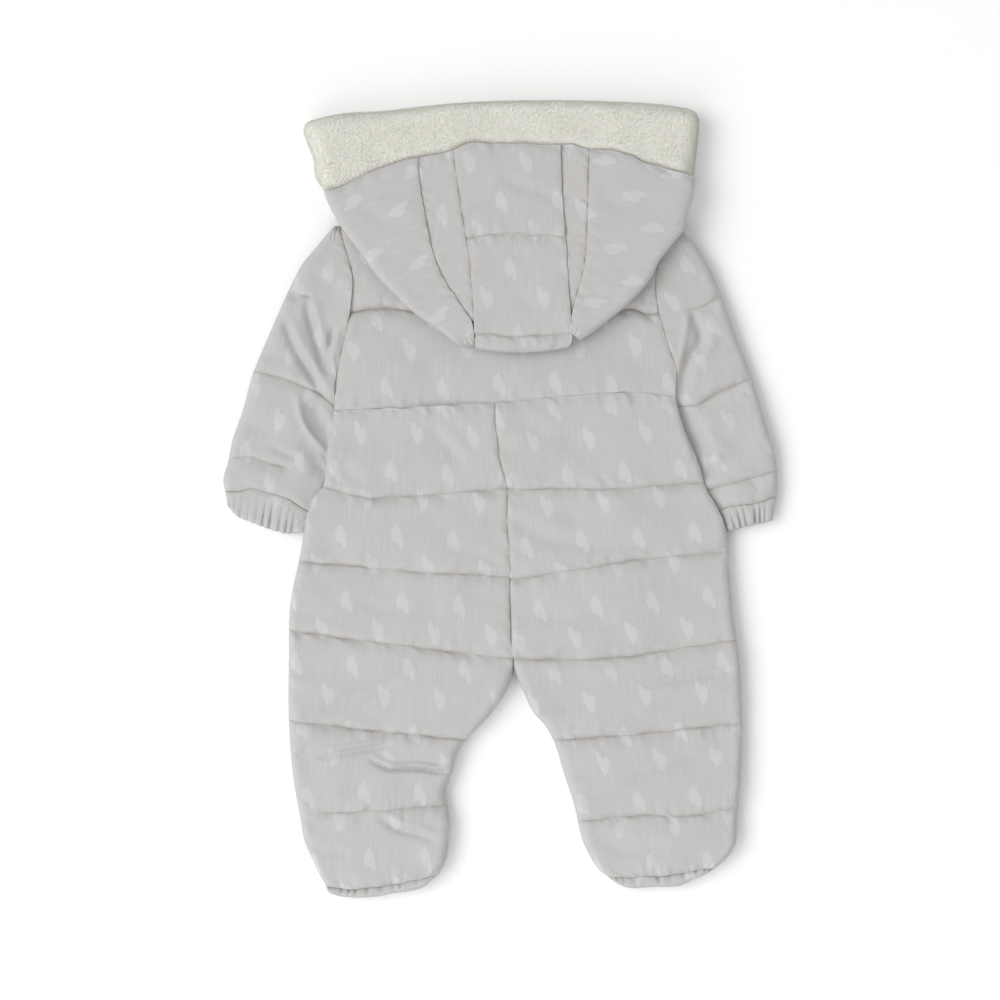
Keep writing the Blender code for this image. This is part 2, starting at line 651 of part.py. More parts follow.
def hood_panels():
    """The hood's five outer panels, the layers under them and the fleece brim."""
    under = -0.4  # from the brim seam down to the hood panels

    def top(left_edge, right_edge):
        left = at(BRIM_SEAM, left_edge[0].x, under)
        right = at(BRIM_SEAM, right_edge[0].x, under)
        return seam_row(left, along(BRIM_SEAM, left.x + 2, right.x - 2, under), right)

    side_left = [
        top(HOOD_LEFT, SIDE_LEFT_IN),
        plain_row(on(HOOD_LEFT, 205), [], on(SIDE_LEFT_IN, 216)),
        plain_row(on(HOOD_LEFT, 160), [], on(SIDE_LEFT_IN, 166)),
        seam_row(on(HOOD_LEFT, 122, -1), [], on(SIDE_LEFT_IN, 122.5)),
    ]
    strip_left = [
        top(STRIP_LEFT_OUT, STRIP_LEFT_IN),
        seam_row(on(STRIP_LEFT_OUT, 149), [], on(STRIP_LEFT_IN, 148)),
    ]
    centre = [
        top(STRIP_LEFT_IN, STRIP_RIGHT_IN),
        quilt_row(on(STRIP_LEFT_IN, 208), [Point(-8, 211)], on(STRIP_RIGHT_IN, 209)),
        quilt_row(on(STRIP_LEFT_IN, 132), [Point(13, 130)], on(STRIP_RIGHT_IN, 132), 0.5),
        seam_row(on(STRIP_LEFT_IN, 120), [Point(-8, 118.2), Point(35, 118.2)],
                 on(STRIP_RIGHT_IN, 121)),
    ]
    strip_right = [
        top(STRIP_RIGHT_IN, STRIP_RIGHT_OUT),
        seam_row(on(STRIP_RIGHT_IN, 156), [], on(STRIP_RIGHT_OUT, 157)),
    ]
    side_right = [
        top(SIDE_RIGHT_IN, HOOD_RIGHT),
        plain_row(on(SIDE_RIGHT_IN, 220), [], on(HOOD_RIGHT, 212)),
        plain_row(on(SIDE_RIGHT_IN, 172), [], on(HOOD_RIGHT, 165)),
        seam_row(on(SIDE_RIGHT_IN, 131), [], on(HOOD_RIGHT, 127, 1)),
    ]
    inset = 5.0
    fold = [
        seam_row(on(HOOD_LEFT, 218, inset), along(SHOULDER_LINE, -110, 120, -1.5),
                 on(HOOD_RIGHT, 216, -inset)),
        plain_row(on(HOOD_LEFT, 186, inset), [], on(HOOD_RIGHT, 186, -inset)),
        plain_row(on(HOOD_LEFT, 150, inset), [], on(HOOD_RIGHT, 150, -inset)),
        seam_row(Point(-20, 124), [Point(15, 122)], Point(48, 124)),
    ]
    neck = [
        seam_row(on(HOOD_LEFT, 243, 1), along(BRIM_SEAM, -128, 150, -3.0),
                 on(HOOD_RIGHT, 252, -1)),
        seam_row(on(HOOD_LEFT, 225.5, 1), along(SHOULDER_LINE, -110, 120, 1.5),
                 on(HOOD_RIGHT, 223.5, -1)),
    ]
    brim = [
        seam_row(Point(-158, 299), BRIM_TOP[1:-1], Point(156.5, 308)),
        seam_row(Point(-142, 247), along(BRIM_SEAM, -135, 150, 0.8), Point(153.5, 257)),
    ]
    panel = dict(base=HOOD_BASE, puff=HOOD_PUFF, left_round=SEAM_ROUND,
                 right_round=SEAM_ROUND, pinch_width=10.0)
    strip = {**panel, "puff": STRIP_PUFF}
    layer = dict(left=[], right=[], left_round=8.0, right_round=8.0, pinch_width=8.0,
                 step=20.0)
    outer_left = {**panel, "left_round": SIDE_ROUND}
    outer_right = {**panel, "right_round": SIDE_ROUND}
    neck_puff = HOOD_BASE - LAYER_GAP - NECK_MIDDLE - LAYER_GAP / 2 - SEAM_WALL
    roll = dict(left=BRIM_LEFT, right=BRIM_RIGHT, left_round=BRIM_ROUND,
                right_round=BRIM_ROUND, pinch_width=BRIM_ROUND, step=12.0)
    brim_front_top = BRIM_MIDDLE - LAYER_GAP / 2
    neck_front_top = NECK_MIDDLE - LAYER_GAP / 2
    return {
        "hood_side_left": Panel(side_left, HOOD_LEFT, SIDE_LEFT_IN, **outer_left),
        "hood_strip_left": Panel(strip_left, STRIP_LEFT_OUT, STRIP_LEFT_IN, **strip),
        "hood_centre": Panel(centre, STRIP_LEFT_IN, STRIP_RIGHT_IN, **panel),
        "hood_strip_right": Panel(strip_right, STRIP_RIGHT_IN, STRIP_RIGHT_OUT, **strip),
        "hood_side_right": Panel(side_right, SIDE_RIGHT_IN, HOOD_RIGHT, **outer_right),
        "hood_fold": Panel(fold, base=FOLD_BASE, puff=FOLD_PUFF, **layer),
        "hood_neck_back": Panel(neck, base=NECK_MIDDLE + LAYER_GAP / 2, puff=neck_puff,
                                **layer),
        "hood_neck_front": Panel(neck, base=neck_front_top, facing=-1,
                                 puff=neck_front_top - SEAM_WALL, **layer),
        "brim_back": Panel(brim, base=BRIM_MIDDLE + LAYER_GAP / 2, puff=BRIM_PUFF, **roll),
        "brim_front": Panel(brim, base=brim_front_top, facing=-1,
                            puff=brim_front_top - SEAM_WALL, **roll),
    }


def box_object(name, low, high, collection, material):
    """A box between two corners given in millimetres."""
    low, high = np.array(low, float) * MM, np.array(high, float) * MM
    bm = bmesh.new()
    bmesh.ops.create_cube(bm, size=1.0)
    bm.transform(Matrix.Translation((high + low) / 2) @ Matrix.Diagonal((*(high - low), 1.0)))
    mesh = bpy.data.meshes.new(name)
    bm.to_mesh(mesh)
    bm.free()
    return new_object(name, mesh, collection, material)


def rod_object(name, centre, radius, length, collection, material):
    """A round rod along X, in millimetres."""
    bm = bmesh.new()
    bmesh.ops.create_cone(bm, cap_ends=True, segments=12, radius1=radius * MM,
                          radius2=radius * MM, depth=length * MM)
    bm.transform(Matrix.Translation(np.array(centre) * MM)
                 @ Matrix.Rotation(math.radians(90), 4, "Y"))
    mesh = bpy.data.meshes.new(name)
    bm.to_mesh(mesh)
    bm.free()
    return new_object(name, mesh, collection, material)


def join_to(obj, others):
    """Union other objects into obj, and keep them only as hidden cutters."""
    for other in others:
        union = obj.modifiers.new("join_" + other.name, "BOOLEAN")
        union.operation = "UNION"
        union.object = other
        other.hide_render = True
        other.display_type = "WIRE"


def build_zip(collection, cutters):
    """The front zip, recessed over the table: tape with its chain, slider and pull tab."""
    tape_finish = finish_material("zip_tape", "C9C7C2", 0.8)
    metal = finish_material("zip_slider", "B9B9B6", 0.35, 1.0)
    x = ZIP_X
    tape = box_object("zip_tape", (x - TAPE_HALF, ZIP_BOTTOM + 9, TAPE_BASE),
                      (x + TAPE_HALF, ZIP_TOP - 0.4, TAPE_TOP), collection, tape_finish)
    chain = box_object("chain", (x - CHAIN_HALF, ZIP_BOTTOM + 12, CHAIN_BASE),
                       (x + CHAIN_HALF, ZIP_TOP - 3, TAPE_BASE + 0.5), cutters, tape_finish)
    join_to(tape, [chain])

    y, low, high = SLIDER_Y, SLIDER_BASE, SLIDER_BASE + PLATE
    slider = box_object("zip_slider", (x - 4, y - 5.5, low), (x + 4, y + 5.5, high),
                        collection, metal)
    joined = []
    for side in (-1, 1):
        flange = sorted((x + side * 2.6, x + side * 4.0))
        joined.append(box_object("flange", (flange[0], y - 5.5, high - 0.4),
                                 (flange[1], y + 5.5, TAPE_BASE - 0.5), cutters, metal))
        post = sorted((x + side * POST_NEAR, x + side * POST_FAR))
        joined.append(box_object("post", (post[0], HINGE_Y - 0.8, HINGE_Z - 0.8),
                                 (post[1], HINGE_Y + 0.8, low + 0.4), cutters, metal))
    joined.append(rod_object("pin", (x, HINGE_Y, HINGE_Z), PIN_RADIUS, 2 * POST_FAR - 0.4,
                             cutters, metal))
    join_to(slider, joined)
    build_pull(collection)


def build_pull(collection):
    """The pull tab: a slim plate with a round eye on the slider's pin, as a 2D curve."""
    start = math.pi + math.asin(TAB_THICK / 2 / EYE_RADIUS)
    arc = np.linspace(start, 3 * math.pi - math.asin(TAB_THICK / 2 / EYE_RADIUS), 15)
    outline = [(EYE_RADIUS * math.cos(a), EYE_RADIUS * math.sin(a)) for a in arc]
    outline += [(-TAB_LENGTH + 0.4, TAB_THICK / 2), (-TAB_LENGTH, TAB_THICK / 2 - 0.3),
                (-TAB_LENGTH, 0.3 - TAB_THICK / 2), (-TAB_LENGTH + 0.4, -TAB_THICK / 2)]
    turns = np.linspace(0, 2 * math.pi, 13)[:-1]
    hole = [(HOLE_RADIUS * math.cos(a), HOLE_RADIUS * math.sin(a)) for a in turns]
    curve = bpy.data.curves.new("zip_pull", "CURVE")
    curve.dimensions = "2D"
    curve.fill_mode = "BOTH"
    curve.extrude = TAB_HALF * MM
    for loop in (outline, hole):
        spline = curve.splines.new("POLY")
        spline.points.add(len(loop) - 1)
        spline.use_cyclic_u = True
        for point, (u, v) in zip(spline.points, loop):
            point.co = (u * MM, v * MM, 0.0, 1.0)
    pull = new_object("zip_pull", curve, collection,
                      finish_material("zip_pull", "B9B9B6", 0.35, 1.0))
    turned = Matrix(((0, 0, 1), (1, 0, 0), (0, 1, 0))).to_4x4()
    place = (ZIP_X * MM, HINGE_Y * MM, HINGE_Z * MM)
    pull.matrix_world = Matrix.Translation(place) @ turned
    return pull


def main():
    """Build the garment and its zip."""
    clear_scene()
    garment = bpy.data.collections.new("padded_all_in_one")
    cutters = bpy.data.collections.new("cutters")
    for collection in (garment, cutters):
        bpy.context.scene.collection.children.link(collection)
    panels = {**body_panels(), **sole_panels(), **sleeve_panels(), **hood_panels()}
    for name, panel in panels.items():
        colour, roughness = (FLEECE if name.startswith("brim") else LINEN)
        build_panel(name, panel, garment, finish_material(name, colour, roughness))
    build_zip(garment, cutters)


main()
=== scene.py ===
"""Looks of a baby's quilted, padded all-in-one with feet, laid face down, hood turned back.

Every padded panel of the construction is made again here on the same outline, with its
quilting rows, creases and puckers, in melange linen with small woven hearts. The hood's
brim gets its fleece pile. Outline tables are in millimetres, seen from above the back:
+Y towards the hood, +X to the right, heights over the table.
"""

import logging
import math
from dataclasses import dataclass, field, replace
from enum import Enum
from typing import Any, NamedTuple, Optional, Sequence

import bpy
import numpy as np
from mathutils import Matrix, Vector


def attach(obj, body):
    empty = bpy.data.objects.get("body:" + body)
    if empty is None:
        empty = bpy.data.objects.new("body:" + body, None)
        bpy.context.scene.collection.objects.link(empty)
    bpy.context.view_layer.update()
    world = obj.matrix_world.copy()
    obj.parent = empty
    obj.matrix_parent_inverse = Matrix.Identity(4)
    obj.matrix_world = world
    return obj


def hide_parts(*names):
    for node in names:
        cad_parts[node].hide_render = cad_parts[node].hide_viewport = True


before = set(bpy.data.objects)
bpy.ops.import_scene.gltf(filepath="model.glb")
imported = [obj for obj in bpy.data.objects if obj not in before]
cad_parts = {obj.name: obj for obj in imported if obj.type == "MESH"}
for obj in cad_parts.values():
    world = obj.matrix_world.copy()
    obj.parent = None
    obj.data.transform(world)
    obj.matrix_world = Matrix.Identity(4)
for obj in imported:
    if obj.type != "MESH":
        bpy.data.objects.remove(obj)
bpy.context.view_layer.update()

log = logging.getLogger("padded_all_in_one")

MM = 0.001
SEAM_GAP = 0.06  # between panels sewn side by side
SEAM_WALL = 1.8  # padding left where a panel is sewn down
FINE_STEP = 1.6  # spacing of rows and columns on what shows
HIDDEN_STEP = 4.0  # the same on the side that lies on the table
NEAR_SEAM = (0.0, 0.35, 0.9, 1.7, 2.8)  # closer rows and columns beside a seam
RIM_INSET = 0.55  # the seam allowance turns in this far under a panel's edge
CORNER_EASE = 6.0  # and less than that this close to a corner
RIM_RINGS = ((0.5, 0.0), (0.9, 0.4), (1.0, 1.0))  # shares of the way down and of the inset
RIM_SHADE = 0.4  # share of seam shade painted on the rim's walls
SHARP_ANGLE = 65.0  # degrees

# Heights of the plain insides, and how far each kind of panel puffs up over its seams.
BODY_FRONT_TOP = 7.85
BODY_BACK_BASE = 8.15
FOLD_BASE = 17.7
HOOD_BASE = 25.5
NECK_MIDDLE = 12.5
BRIM_MIDDLE = 13.0
LAYER_GAP = 0.3
BODY_PUFF = 8.6
YOKE_PUFF = 7.1
SLEEVE_PUFF = 6.4
CUFF_PUFF = 4.6
SOLE_PUFF = 5.6
HOOD_PUFF = 5.4
STRIP_PUFF = 4.2
FOLD_PUFF = 5.4
BRIM_PUFF = 14.6  # the pile stands over this
PILE_INSET = 1.4  # and this far outside the brim's own edge

# Rounding of the panels' edges, and half the width of a pinch along a quilting row.
SIDE_ROUND = 9.0
SEAM_ROUND = 7.0
FRONT_ROUND = 8.0
BRIM_ROUND = 15.0
PINCH = 13.0
UPPER_PINCH = 0.6  # the padding hangs over a row, so it falls faster above it than below

ZIP_X = 5.0
ZIP_HALF = 5.0
ZIP_TOP = 226.0
ZIP_BOTTOM = -92.0
TAPE_HALF = 5.1
TAPE_BASE = 6.3
TAPE_TOP = 7.6


# ---- Outlines: y against x along each long edge, from the hood down to the feet.


class Knot(NamedTuple):
    """A point that a long edge passes through."""

    y: float
    x: float


class Point(NamedTuple):
    """A point of a cross seam or of a crease."""

    x: float
    y: float


Edge = list[Knot]
Seam = Sequence[Point]

BODY_LEFT: Edge = [
    Knot(222, -129), Knot(209, -127), Knot(193, -122), Knot(178, -119), Knot(149, -121),
    Knot(122, -127), Knot(98, -132), Knot(70, -134), Knot(36, -139), Knot(20, -140.5),
    Knot(11, -142.5), Knot(3, -149), Knot(-10, -154.5), Knot(-42, -160.5), Knot(-84, -169),
    Knot(-123, -170), Knot(-177, -170), Knot(-218, -167), Knot(-257, -160.5),
    Knot(-273, -157.5), Knot(-289, -150.5), Knot(-303, -143.5), Knot(-309, -139.5),
]
BODY_RIGHT: Edge = [
    Knot(222, 133), Knot(204, 127.5), Knot(183, 123.5), Knot(169, 123), Knot(152, 125),
    Knot(118, 135), Knot(106, 139), Knot(82, 139), Knot(56, 146), Knot(27, 158),
    Knot(7, 164.5), Knot(-5, 171.5), Knot(-26, 180.5), Knot(-48, 182), Knot(-89, 185),
    Knot(-125, 190), Knot(-173, 192.4), Knot(-218, 191.6), Knot(-259, 188),
    Knot(-275, 187), Knot(-281, 184), Knot(-289, 177), Knot(-293, 172.5), Knot(-297, 168),
]
CENTRE_BACK: Edge = [
    Knot(90, -5.2), Knot(56, -4.4), Knot(36, -2), Knot(16, 2.8), Knot(4, 4.4),
    Knot(-16, 4.4), Knot(-40, 6), Knot(-88, 6.8), Knot(-112, 7.6), Knot(-130, 9.2),
]
INSEAM_LEFT: Edge = [
    Knot(-144, 7.6), Knot(-157, 1.2), Knot(-170, -7.6), Knot(-189, -25.2),
    Knot(-200, -34.3), Knot(-216, -38.8), Knot(-237, -45.2), Knot(-250, -42.4),
    Knot(-277, -42.4), Knot(-287, -44.4), Knot(-296, -48.4), Knot(-300, -51),
]
INSEAM_RIGHT: Edge = [
    Knot(-144, 13.2), Knot(-155, 18.4), Knot(-170, 25.6), Knot(-180, 34.5),
    Knot(-191, 40.8), Knot(-218, 49.7), Knot(-250, 59.6), Knot(-262, 62),
    Knot(-275, 65.8), Knot(-287, 72), Knot(-297, 79.2), Knot(-303, 88),
]
ZIP_END_LEFT: Edge = [Knot(-100, 4.0), Knot(-113, 6.0), Knot(-130, 8.2)]
ZIP_END_RIGHT: Edge = [Knot(-100, 7.4), Knot(-113, 8.8), Knot(-130, 10.0)]
ZIP_LEFT: Edge = [Knot(y, ZIP_X - ZIP_HALF) for y in (ZIP_TOP, 0, -80, -86, ZIP_BOTTOM)]
ZIP_RIGHT: Edge = [Knot(y, ZIP_X + ZIP_HALF) for y in (ZIP_TOP, 0, -80, -86, ZIP_BOTTOM)]
SLEEVE_LEFT: Edge = [
    Knot(222, -131), Knot(216, -136.5), Knot(201, -149), Knot(189, -159), Knot(176, -166),
    Knot(159, -174), Knot(120, -191), Knot(103, -198), Knot(68, -208), Knot(48, -215),
    Knot(29, -219), Knot(16, -222.5), Knot(7, -221), Knot(-5, -219),
]
SLEEVE_RIGHT: Edge = [
    Knot(222, 141), Knot(216, 145), Knot(202, 156.5), Knot(189, 164.5), Knot(172, 172.5),
    Knot(154, 179.5), Knot(128, 188.5), Knot(108, 196.5), Knot(76, 207), Knot(54, 213.5),
    Knot(38, 218.5), Knot(21, 220.4), Knot(6, 220.4), Knot(-8, 218), Knot(-17, 217),
]
HOOD_LEFT: Edge = [
    Knot(246, -141.5), Knot(236, -138), Knot(222, -130.6), Knot(207, -120.2),
    Knot(194.6, -110.4), Knot(179, -99.6), Knot(168, -89.6), Knot(158, -79.2),
    Knot(150, -71), Knot(141, -58.8), Knot(134, -48.4), Knot(126, -38.2), Knot(119, -27),
]
HOOD_RIGHT: Edge = [
    Knot(256, 154), Knot(240, 152), Knot(223, 147), Knot(216, 145.5), Knot(202, 135),
    Knot(191, 126.5), Knot(178, 120), Knot(164, 109), Knot(152, 96.4), Knot(142, 83.6),
    Knot(132, 70.8), Knot(124, 57),
]
STRIP_LEFT_OUT: Edge = [
    Knot(274, -66.8), Knot(250, -64.8), Knot(221.4, -59.6), Knot(196.8, -54.6),
    Knot(176.2, -46.3), Knot(157.8, -34), Knot(148, -27.6),
]
STRIP_LEFT_IN: Edge = [
    Knot(284, -39.6), Knot(240, -33.2), Knot(210, -28.4), Knot(168, -23.6), Knot(119, -21),
]
STRIP_RIGHT_IN: Edge = [
    Knot(284, 46.8), Knot(240, 48.4), Knot(200, 51.6), Knot(168, 53.2), Knot(130, 56),
    Knot(125, 55.5), Knot(120, 52),
]
STRIP_RIGHT_OUT: Edge = [
    Knot(280, 69.4), Knot(244, 68.8), Knot(201.8, 67.1), Knot(183, 65), Knot(164, 59.8),
    Knot(156, 57.6),
]
SIDE_LEFT_IN: Edge = [
    *STRIP_LEFT_OUT, Knot(142, -23.8), Knot(136, -22.2), Knot(128, -21.6), Knot(120, -21.1),
]
SIDE_RIGHT_IN: Edge = [
    *STRIP_RIGHT_OUT, Knot(148, 55.9), Knot(142, 55.3), Knot(136, 55.7), Knot(130, 56.1),
]
BRIM_LEFT: Edge = [
    Knot(300, -157.5), Knot(296, -158.8), Knot(285, -156), Knot(272, -151),
    Knot(257, -149), Knot(251, -145.6), Knot(246, -141.5),
]
BRIM_RIGHT: Edge = [
    Knot(309, 156), Knot(305, 157.6), Knot(290, 157.6), Knot(272, 155.6), Knot(256, 153.5),
]
BRIM_SEAM: Seam = [
    Point(-142, 246), Point(-131, 247.5), Point(-113, 256.5), Point(-88, 267),
    Point(-67, 272), Point(-40, 277.5), Point(-30, 282), Point(2, 283.5),
    Point(45, 282.5), Point(62, 281), Point(69, 278), Point(80, 278.5), Point(101, 273.5),
    Point(122, 265), Point(139, 260.5), Point(154, 256),
]
BRIM_TOP: Seam = [
    Point(-158, 299), Point(-156, 301), Point(-143.6, 305.6), Point(-126, 309),
    Point(-94, 311), Point(-62, 314.7), Point(-30, 317.6), Point(13, 319.2),
    Point(56, 319.2), Point(88, 318.4), Point(120, 316.8), Point(141.5, 314),
    Point(152.5, 311), Point(156.5, 308),
]
SHOULDER_LINE: Seam = [
    Point(-138, 222), Point(-129, 224), Point(-100, 232), Point(-69, 239), Point(3, 241),
    Point(75, 239), Point(110, 231), Point(133, 224), Point(150, 220),
]
SOLE_LEFT_END: Seam = [
    Point(-139, -312.5), Point(-132, -316.2), Point(-119, -317.8), Point(-99, -316.8),
    Point(-85.5, -314.2), Point(-69, -311.8), Point(-60.4, -308), Point(-55.6, -303.5),
]
SOLE_RIGHT_END: Seam = [
    Point(91, -306), Point(97, -308.8), Point(124, -309.2), Point(144, -308),
    Point(152, -304), Point(160, -300.8),
]
CUFF_LEFT_END: Seam = [
    Point(-212, -12.8), Point(-200, -18), Point(-186, -23.2), Point(-169, -27.2),
]
CUFF_RIGHT_END: Seam = [Point(195, -21.6), Point(208, -19)]


# ---- Curves and small tools.


def smooth(knots: Any, values: Any, at: Any) -> np.ndarray:
    """Values at some places of the smooth curve that passes through the knots.

    Args:
        knots: Places of the knots, rising.
        values: A value or a point for each knot.
        at: Places to read.

    Returns:
        A value or a point for each place.
    """
    knots = np.asarray(knots, float)
    values = np.asarray(values, float)
    shape = (-1,) + (1,) * (values.ndim - 1)
    slope = np.gradient(values, knots, axis=0)
    i = np.clip(np.searchsorted(knots, at, side="right") - 1, 0, len(knots) - 2)
    step = (knots[i + 1] - knots[i]).reshape(shape)
    t = ((at - knots[i]) / (knots[i + 1] - knots[i])).reshape(shape)
    start = values[i] * (1 + 2 * t) + slope[i] * step * t
    end = values[i + 1] * (3 - 2 * t) + slope[i + 1] * step * (t - 1)
    return start * (1 - t) ** 2 + end * t**2


def edge_x(edge: Edge, y: Any) -> np.ndarray:
    """x of a long edge at each height y."""
    table = sorted(edge)
    y = np.clip(np.atleast_1d(np.asarray(y, float)), table[0].y, table[-1].y)
    return smooth([k.y for k in table], [k.x for k in table], y)


def on(edge: Edge, y: float, shift: float = 0.0) -> Point:
    """The point of a long edge at height y, moved sideways by shift."""
    return Point(float(edge_x(edge, y)[0]) + shift, y)


def moved(edge: Edge, shift: float) -> Edge:
    """A long edge moved sideways."""
    return [Knot(k.y, k.x + shift) for k in edge]


def along(seam: Seam, low: float, high: float, shift: float = 0.0) -> Seam:
    """The knots of a cross seam between two x values, moved by shift along y."""
    return [Point(p.x, p.y + shift) for p in seam if low < p.x < high]


def at(seam: Seam, x: float, shift: float = 0.0) -> Point:
    """The point of a cross seam at x, moved by shift along y."""
    y = smooth([p.x for p in seam], [p.y for p in seam], np.array([float(x)]))[0]
    return Point(x, float(y) + shift)


def rounding(distance: np.ndarray, radius: float) -> np.ndarray:
    """Share of the full height at a distance from a free edge, fuller than a circle."""
    t = np.clip(distance / radius, 0, 1)
    return (1 - (1 - t) ** 2.6) ** (1 / 2.2)


def eased(t: np.ndarray) -> np.ndarray:
    """0 up to 0, 1 from 1 on, with a smooth rise between."""
    t = np.clip(t, 0, 1)
    return t * t * (3 - 2 * t)


def bell(distance: Any, width: Any) -> np.ndarray:
    """1 at no distance, falling off smoothly over the width."""
    return np.exp(-((distance / width) ** 2))


def spaced(length: float, step: float) -> np.ndarray:
    """Places from 0 to length, closer together beside both ends."""
    near = [d for d in NEAR_SEAM if d < length / 3]
    count = max(1, math.ceil((length - 2 * near[-1]) / step))
    middle = np.linspace(near[-1], length - near[-1], count + 1)
    return np.unique(np.concatenate([near, middle, [length - d for d in near]]).round(6))


class SmoothNoise:
    """Seeded noise between -1 and 1 that changes smoothly over a length of 1."""

    size: int = 128

    def __init__(self, seed: int) -> None:
        """Draw the lattice of values.

        Args:
            seed: Fixes the noise.
        """
        self.values = np.random.default_rng(seed).uniform(-1, 1, (self.size, self.size))

    def at(self, u: Any, v: Any = 0.0) -> np.ndarray:
        """Noise at each pair of places.

        Args:
            u: Places along the first direction.
            v: Places along the second direction.

        Returns:
            A value for each place.
        """
        u, v = np.broadcast_arrays(np.asarray(u, float), np.asarray(v, float))
        i, j = np.floor(u).astype(int), np.floor(v).astype(int)
        s, t = eased(u - i), eased(v - j)
        i0, i1 = i % self.size, (i + 1) % self.size
        j0, j1 = j % self.size, (j + 1) % self.size
        low = self.values[i0, j0] * (1 - s) + self.values[i1, j0] * s
        high = self.values[i0, j1] * (1 - s) + self.values[i1, j1] * s
        return low * (1 - t) + high * t


# ---- Nodes and finishes.


def linear(hex_colour: str) -> tuple[float, float, float, float]:
    """A linear colour from an sRGB hex value."""
    channels = [int(hex_colour[i : i + 2], 16) / 255 for i in (0, 2, 4)]
    r, g, b = (c / 12.92 if c <= 0.04045 else ((c + 0.055) / 1.055) ** 2.4 for c in channels)
    return r, g, b, 1.0


def feed(tree: bpy.types.NodeTree, node: bpy.types.Node, inputs: dict[Any, Any]) -> None:
    """Set or link some inputs of a node.

    Args:
        tree: The node's tree.
        node: The node.
        inputs: Socket name or index against a value, a socket, or a node whose first
            output is linked.
    """
    for key, value in inputs.items():
        socket = node.inputs[key]
        if isinstance(value, bpy.types.Node):
            tree.links.new(value.outputs[0], socket)
        elif isinstance(value, bpy.types.NodeSocket):
            tree.links.new(value, socket)
        else:
            socket.default_value = value


def add_node(tree: bpy.types.NodeTree, kind: str, inputs: Optional[dict[Any, Any]] = None,
             **settings: Any) -> bpy.types.Node:
    """Add a node with its inputs, as feed takes them, and its own properties."""
    node = tree.nodes.new(kind)
    for key, value in settings.items():
        setattr(node, key, value)
    feed(tree, node, inputs or {})
    return node


def calc(tree: bpy.types.NodeTree, operation: str, *values: Any) -> bpy.types.Node:
    """Add a Math node on up to three values, sockets or nodes."""
    return add_node(tree, "ShaderNodeMath", dict(enumerate(values)), operation=operation)


def blend(tree: bpy.types.NodeTree, share: Any, *colours: Any) -> bpy.types.NodeSocket:
    """The mix of two colours, each a hex value or a socket, at a share of the second."""
    first, second = (linear(c) if isinstance(c, str) else c for c in colours)
    return add_node(tree, "ShaderNodeMix", {0: share, 6: first, 7: second},
                    data_type="RGBA").outputs[2]


def spots(tree: bpy.types.NodeTree, size: float, **more: float) -> bpy.types.Node:
    """Noise through the object, with spots of about size mm."""
    place = add_node(tree, "ShaderNodeTexCoord")
    return add_node(tree, "ShaderNodeTexNoise", {
        "Vector": place.outputs["Object"], "Scale": 1 / (size * MM), **more})


def bands(tree: bpy.types.NodeTree, pitch: float, direction: str,
          **more: float) -> bpy.types.NodeSocket:
    """Waves through the object, pitch mm apart."""
    place = add_node(tree, "ShaderNodeTexCoord")
    return add_node(tree, "ShaderNodeTexWave", {
        "Vector": place.outputs["Object"], "Scale": 0.5 / (pitch * MM), **more},
        bands_direction=direction).outputs["Fac"]


def new_material(name: str) -> tuple[bpy.types.Material, bpy.types.NodeTree, bpy.types.Node]:
    """Make a material, and return it with its tree and its Principled shader."""
    material = bpy.data.materials.new(name)
    material.use_nodes = True
    return material, material.node_tree, material.node_tree.nodes["Principled BSDF"]


